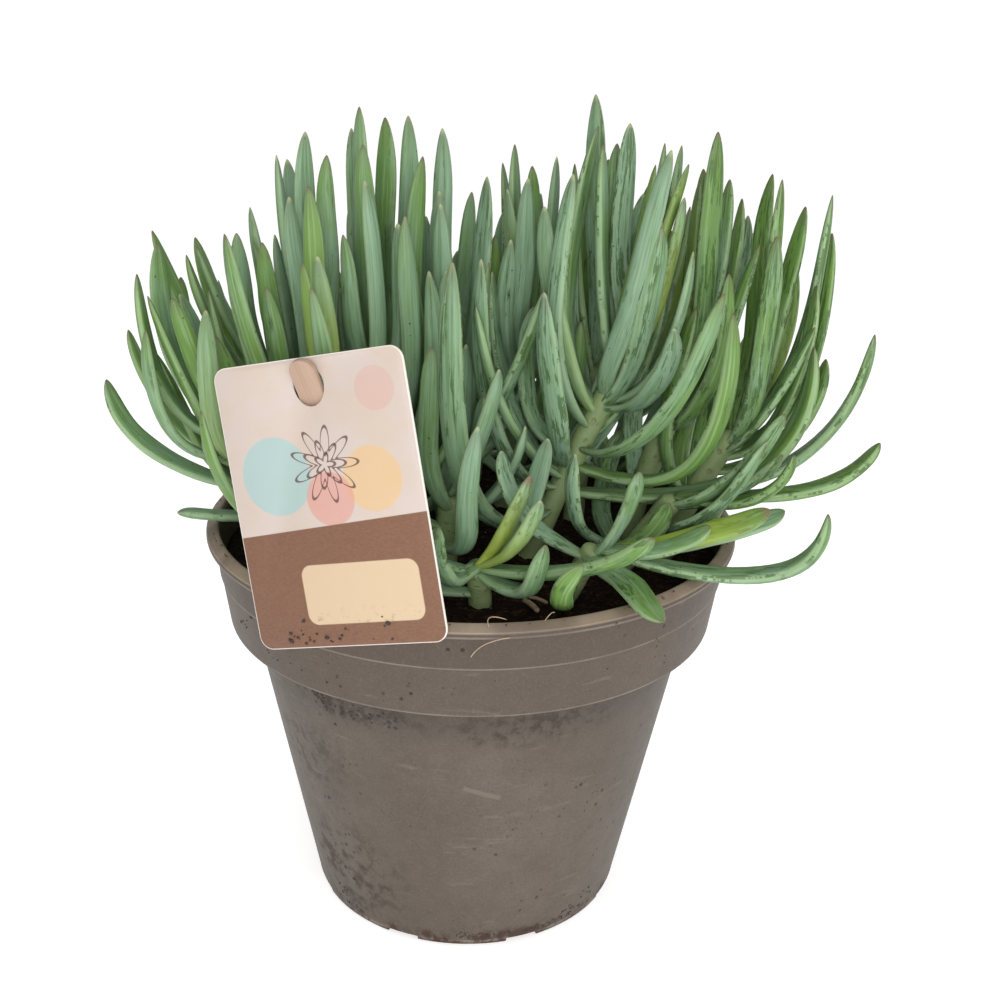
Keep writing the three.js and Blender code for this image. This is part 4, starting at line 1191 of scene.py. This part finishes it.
class CHALKSTICKS_OT_plant(bpy.types.Operator):
    """Adds the leafy stems."""

    bl_idname = "chalksticks.plant"
    bl_label = "Leafy Stems"

    def execute(self, context):
        settings = context.scene.chalksticks_plant
        finger = straight_finger(LEAF.sides, LEAF.rings, leaf_width, leaf_section, leaf_material(settings))
        stalk = straight_finger(STEM.sides, STEM.rings, stalk_width, stalk_section, stalk_material(settings))
        stems = [Stem(i + 1, *sizes) for i, sizes in enumerate(STEMS)]
        leaves = grow_leaves(stems)
        draw = Draw(SEEDS.leaves)
        for stem in stems:
            pieces = [self.stem_piece(stem, stalk)]
            pieces += [self.leaf_piece(leaf, finger, draw) for leaf in leaves if leaf.stem is stem]
            number = f"{stem.number:02d}"
            finished(joined(pieces), f"stem_{number}_with_leaves", f"leafy_stem_{number}")
        removed(finger)
        removed(stalk)
        return {"FINISHED"}

    def stem_piece(self, stem, stalk):
        side = unit(np.cross(stem.curve.heading(0.5), (0.3, 1, 0)))
        piece = laid_along(stalk, stem.curve, side, 2 * STEM.radius, stem.number)
        set_attributes(piece, tone=0, rub=0, young=0, dry=0)
        return piece

    def leaf_piece(self, leaf, finger, draw):
        """A leaf with looks of its own."""
        wave, twist = draw.between(0, 6), draw.around(LOOKS.twist)
        piece = laid_along(finger, leaf.curve, leaf.side, leaf.width, wave, twist)
        out = (np.hypot(*leaf.curve.end[:2]) - LOOKS.inner) / (LOOKS.outer - LOOKS.inner)
        tone = LOOKS.tone + LOOKS.tone_spread * draw.share() + LOOKS.outer_tone * min(1, max(0, out))
        rub = RUBBED.get(leaf.stem.number, 0) + LOOKS.rub * draw.share()
        chosen, fresh = draw.share() > 1 - LOOKS.young_share, draw.between(*LOOKS.young)
        young = YOUNG.get(leaf.mark, 0)
        if leaf.mark is None and leaf.share > LOOKS.young_from and chosen:
            young = fresh
        set_attributes(piece, tone=tone, rub=rub, young=young, dry=leaf.mark in DRY_TIPS)
        return piece


# Dirt on the pot

# Crumbs that stick to the pot's wall, in patches, as
# (degrees from +X, height, spread in degrees, spread in height, count, size)
DIRT = (
    (-127, 92.5, 4, 2.2, 16, 1.5), (-121, 90.5, 4, 2.4, 16, 1.7), (-111, 91, 5, 2.5, 15, 1.6),
    (-117, 93.5, 9, 1.6, 12, 0.9), (-128, 110, 12, 6, 16, 0.9), (-141, 117, 9, 8, 24, 1),
    (-150, 124, 5, 6, 14, 1), (-138, 9, 3, 2, 12, 1.2), (-134, 4, 5, 1.2, 14, 1.1),
    (-87, 5, 5, 1.2, 20, 1.2), (-78, 4.2, 6, 1.2, 22, 1.3), (-60, 4, 7, 1.3, 26, 1.3),
    (-48, 5, 6, 1.8, 24, 1.2), (-40, 9, 4, 2.5, 12, 1), (-57, 52, 14, 14, 12, 0.7),
    (-100, 72, 40, 26, 34, 0.6), (-118, 70, 20, 30, 22, 0.6), (-35, 60, 20, 30, 14, 0.6),
    (-80, 107, 50, 9, 22, 0.6), (60, 110, 60, 14, 26, 0.9), (140, 60, 40, 40, 26, 0.7),
    (100, 5, 30, 2, 30, 1.1), (20, 92, 30, 3, 16, 1.1),
)
DIRT_VARIANTS = range(10, 14)
CARD_CRUMBS = Sizes(count=26, x=(-20, 16), above_edge=(1, 9), size=(0.5, 1.9))
LIP_CRUMBS = Sizes(count=46, size=(0.4, 1))


def wall_radius(height):
    """The pot's outer radius at a height, above the foot and below the lip."""
    heights = (0, 4, COLLAR.bottom, COLLAR.bottom + 0.1, COLLAR.line, LIP.under)
    radii = (
        BODY.foot_radius - 1, BODY.foot_radius + 0.45, BODY.top_radius, COLLAR.bottom_radius,
        COLLAR.line_radius, COLLAR.top_radius,
    )
    return float(np.interp(height, heights, radii))


class CHALKSTICKS_OT_dirt(bpy.types.Operator):
    """Adds the peat crumbs that stick to the pot's wall and to the label, or lie on the lip."""

    bl_idname = "chalksticks.dirt"
    bl_label = "Peat Crumbs on the Pot"

    def execute(self, context):
        draw = Draw(SEEDS.dirt)
        places = []
        for angle, height, aside, above, count, size in DIRT:
            for _ in range(count):
                turn = math.radians(angle + draw.around(aside))
                z = min(LIP.under - 1, max(1.5, height + draw.around(above)))
                outwards = polar(1, turn)
                own = size * draw.between(0.45, 1.25)
                place = outwards * (wall_radius(z) - 0.05 * own) + Vector((0, 0, z))
                places.append((place, outwards, own, draw.between(0, math.tau)))
        card = hanger_matrix()
        outwards = card.to_3x3() @ Vector((0, -1, 0))
        for _ in range(CARD_CRUMBS.count):
            x = draw.between(*CARD_CRUMBS.x)
            z = 1 - LABEL.height / 2 + draw.between(*CARD_CRUMBS.above_edge) * draw.share()
            own = draw.between(*CARD_CRUMBS.size)
            place = card @ Vector((x, -LABEL.thickness / 2 - 0.1 * own, z))
            places.append((place, outwards, own, draw.between(0, math.tau)))
        middle = (LIP.radius + LIP.inner) / 2
        for _ in range(LIP_CRUMBS.count):
            turn = math.tau * draw.share()
            own = draw.between(*LIP_CRUMBS.size)
            places.append((polar(middle, turn, LIP.top), (0, 0, 1), own, draw.between(0, math.tau)))
        # This peat is the plain one that the CAD solids bring, and not the shader of the peat in the pot
        scatter("crumbs_on_pot", DIRT_VARIANTS, places, bpy.data.materials["peat"])
        return {"FINISHED"}


# Loose bits on the peat and the lip, as (start, bend, end, width, how brown)
LITTER = (
    ((12.7, -84.7, 128.6), (4, -86.6, 128), (1.9, -82.6, 121), 0.3, 0),
    ((6.8, -84, 131.4), (5, -80, 134), (11.7, -79.8, 131.6), 0.3, 0),
    ((22, -79, 130.8), (24, -78, 134), (25, -76.5, 132.5), 0.25, 0),
    ((17, -43, 120.4), (19, -47, 121.5), (21, -53, 121.6), 1.7, 0.1),
    ((18.5, -41, 120.5), (21, -43, 121.5), (24, -46, 121), 1.1, 0.2),
    ((60, -11, 120.5), (66, -5, 123), (71, 0, 125), 4.6, 1),
    ((-20, 30, 120.2), (-14, 34, 121.5), (-9, 41, 121), 1.4, 0.2),
    ((35, 48, 120.2), (30, 50, 121.5), (22, 52, 121), 1.2, 0.4),
)
BIT = Sizes(sides=8, rings=16)


def litter_material():
    """Dry straw and root fibres, from pale to olive brown."""
    g = Graph("litter", Specular_IOR_Level=0.2)
    around, along, tone = g.attributes("around", "along", "tone")
    streaks = g.noise(g.vector(around * 6, along * 3, 0), 1, 3)
    color = g.coats(
        (0.42, 0.31, 0.20),
        (tone, (0.16, 0.16, 0.075)),
        (0.5 * g.between(streaks, 0.45, 0.65), (0.12, 0.075, 0.04)),
    )
    return g.finish(color, 0.7, streaks, 0.0002, 0.4)


class CHALKSTICKS_OT_litter(bpy.types.Operator):
    """Adds bits of straw and stem on the peat and fibres on the lip."""

    bl_idname = "chalksticks.litter"
    bl_label = "Straw and Fibres"

    def execute(self, context):
        bit = straight_finger(BIT.sides, BIT.rings, stalk_width, stalk_section, litter_material())
        pieces = []
        for i, (start, bend, end, width, brown) in enumerate(LITTER):
            curve = Curve(np.array(start), np.array(bend), np.array(end))
            side = unit(np.cross(curve.heading(0.5), (0.1, 0.2, 1)))
            piece = laid_along(bit, curve, side, width, i)
            set_attributes(piece, tone=brown)
            pieces.append(piece)
        finished(joined(pieces), "straw_and_fibres")
        removed(bit)
        return {"FINISHED"}


# Stage

# The camera that was fitted to the photograph, in millimetres and degrees
CAMERA = Sizes(place=(9, -452.7, 312.4), pitch=21.31, roll=1.37, lens=54, sensor=36)
# Lights as (name, place, target, size, power), in metres and watts, and the floor's size in metres
LIGHTS = (
    ("key_light", (0.05, -1.3, 0.5), (0, 0, 0.14), 0.7, 9.6),
    ("fill_light", (0.7, -1.1, 0.5), (0, 0, 0.14), 0.7, 3),
    ("top_light", (-0.2, -0.2, 1.3), (0, 0, 0.15), 0.6, 1.2),
)
FLOOR_SIZE = 24
FLOOR_GLOW = 0.5
WORLD_STRENGTH = 0.58
WHITE = (1, 1, 1, 1)


def area_light(name, place, target, size, power):
    nothing_selected()
    bpy.ops.object.light_add(type="AREA", location=place)
    lamp = bpy.context.object
    lamp.name = name
    lamp.rotation_euler = (Vector(target) - Vector(place)).to_track_quat("-Z", "Y").to_euler()
    lamp.data.shape = "DISK"
    lamp.data.size = size
    lamp.data.energy = power


class CHALKSTICKS_OT_stage(bpy.types.Operator):
    """Adds the pale floor, the world, the soft studio lights and the camera."""

    bl_idname = "chalksticks.stage"
    bl_label = "Studio Stage"

    def execute(self, context):
        nothing_selected()
        bpy.ops.mesh.primitive_plane_add(size=FLOOR_SIZE)
        floor = bpy.context.object
        g = Graph("studio_floor", Specular_IOR_Level=0.2, Emission_Color=WHITE, Emission_Strength=FLOOR_GLOW)
        floor.data.materials.append(g.finish((0.9, 0.9, 0.9), 0.8))
        floor.name = "studio_floor"

        world = bpy.data.worlds.new("studio_world")
        world.use_nodes = True
        background = world.node_tree.nodes["Background"]
        background.inputs["Color"].default_value = WHITE
        background.inputs["Strength"].default_value = WORLD_STRENGTH
        context.scene.world = world
        for light in LIGHTS:
            area_light(*light)

        bpy.ops.object.camera_add()
        camera = bpy.context.object
        camera.name = "photo_camera"
        down = Matrix.Rotation(math.pi / 2 - math.radians(CAMERA.pitch), 4, "X")
        rolled = down @ Matrix.Rotation(math.radians(CAMERA.roll), 4, "Z")
        camera.matrix_world = Matrix.Translation(Vector(CAMERA.place) * MM) @ rolled
        camera.data.lens = CAMERA.lens
        camera.data.sensor_width = CAMERA.sensor
        camera.data.clip_start = 0.01
        context.scene.camera = camera
        context.scene.view_settings.view_transform = "Standard"
        return {"FINISHED"}


class CHALKSTICKS_PT_panel(bpy.types.Panel):
    """Lists the plant's pieces in the sidebar."""

    bl_idname = "CHALKSTICKS_PT_panel"
    bl_label = "Potted Blue Chalksticks"
    bl_space_type = "VIEW_3D"
    bl_region_type = "UI"
    bl_category = "Chalksticks"

    def draw(self, context):
        for owner, settings in SETTINGS.items():
            box = self.layout.box()
            for name in settings.__annotations__:
                box.prop(getattr(context.scene, owner), name)
        for operator in OPERATORS:
            self.layout.operator(operator.bl_idname)


OPERATORS = (
    CHALKSTICKS_OT_pot, CHALKSTICKS_OT_peat, CHALKSTICKS_OT_label, CHALKSTICKS_OT_plant, CHALKSTICKS_OT_dirt,
    CHALKSTICKS_OT_litter, CHALKSTICKS_OT_stage,
)
SETTINGS = {
    "chalksticks_pot": PotSettings, "chalksticks_label": LabelSettings, "chalksticks_plant": PlantSettings,
}
CLASSES = (*SETTINGS.values(), *OPERATORS, CHALKSTICKS_PT_panel)


def register():
    for cls in CLASSES:
        bpy.utils.register_class(cls)
    for name, settings in SETTINGS.items():
        setattr(bpy.types.Scene, name, bpy.props.PointerProperty(type=settings))


def unregister():
    for name in SETTINGS:
        delattr(bpy.types.Scene, name)
    for cls in reversed(CLASSES):
        bpy.utils.unregister_class(cls)


def main():
    register()
    bpy.ops.chalksticks.pot()
    bpy.ops.chalksticks.peat()
    bpy.ops.chalksticks.label()
    bpy.ops.chalksticks.plant()
    bpy.ops.chalksticks.dirt()
    bpy.ops.chalksticks.litter()
    bpy.ops.chalksticks.stage()


if __name__ == "__main__":
    main()
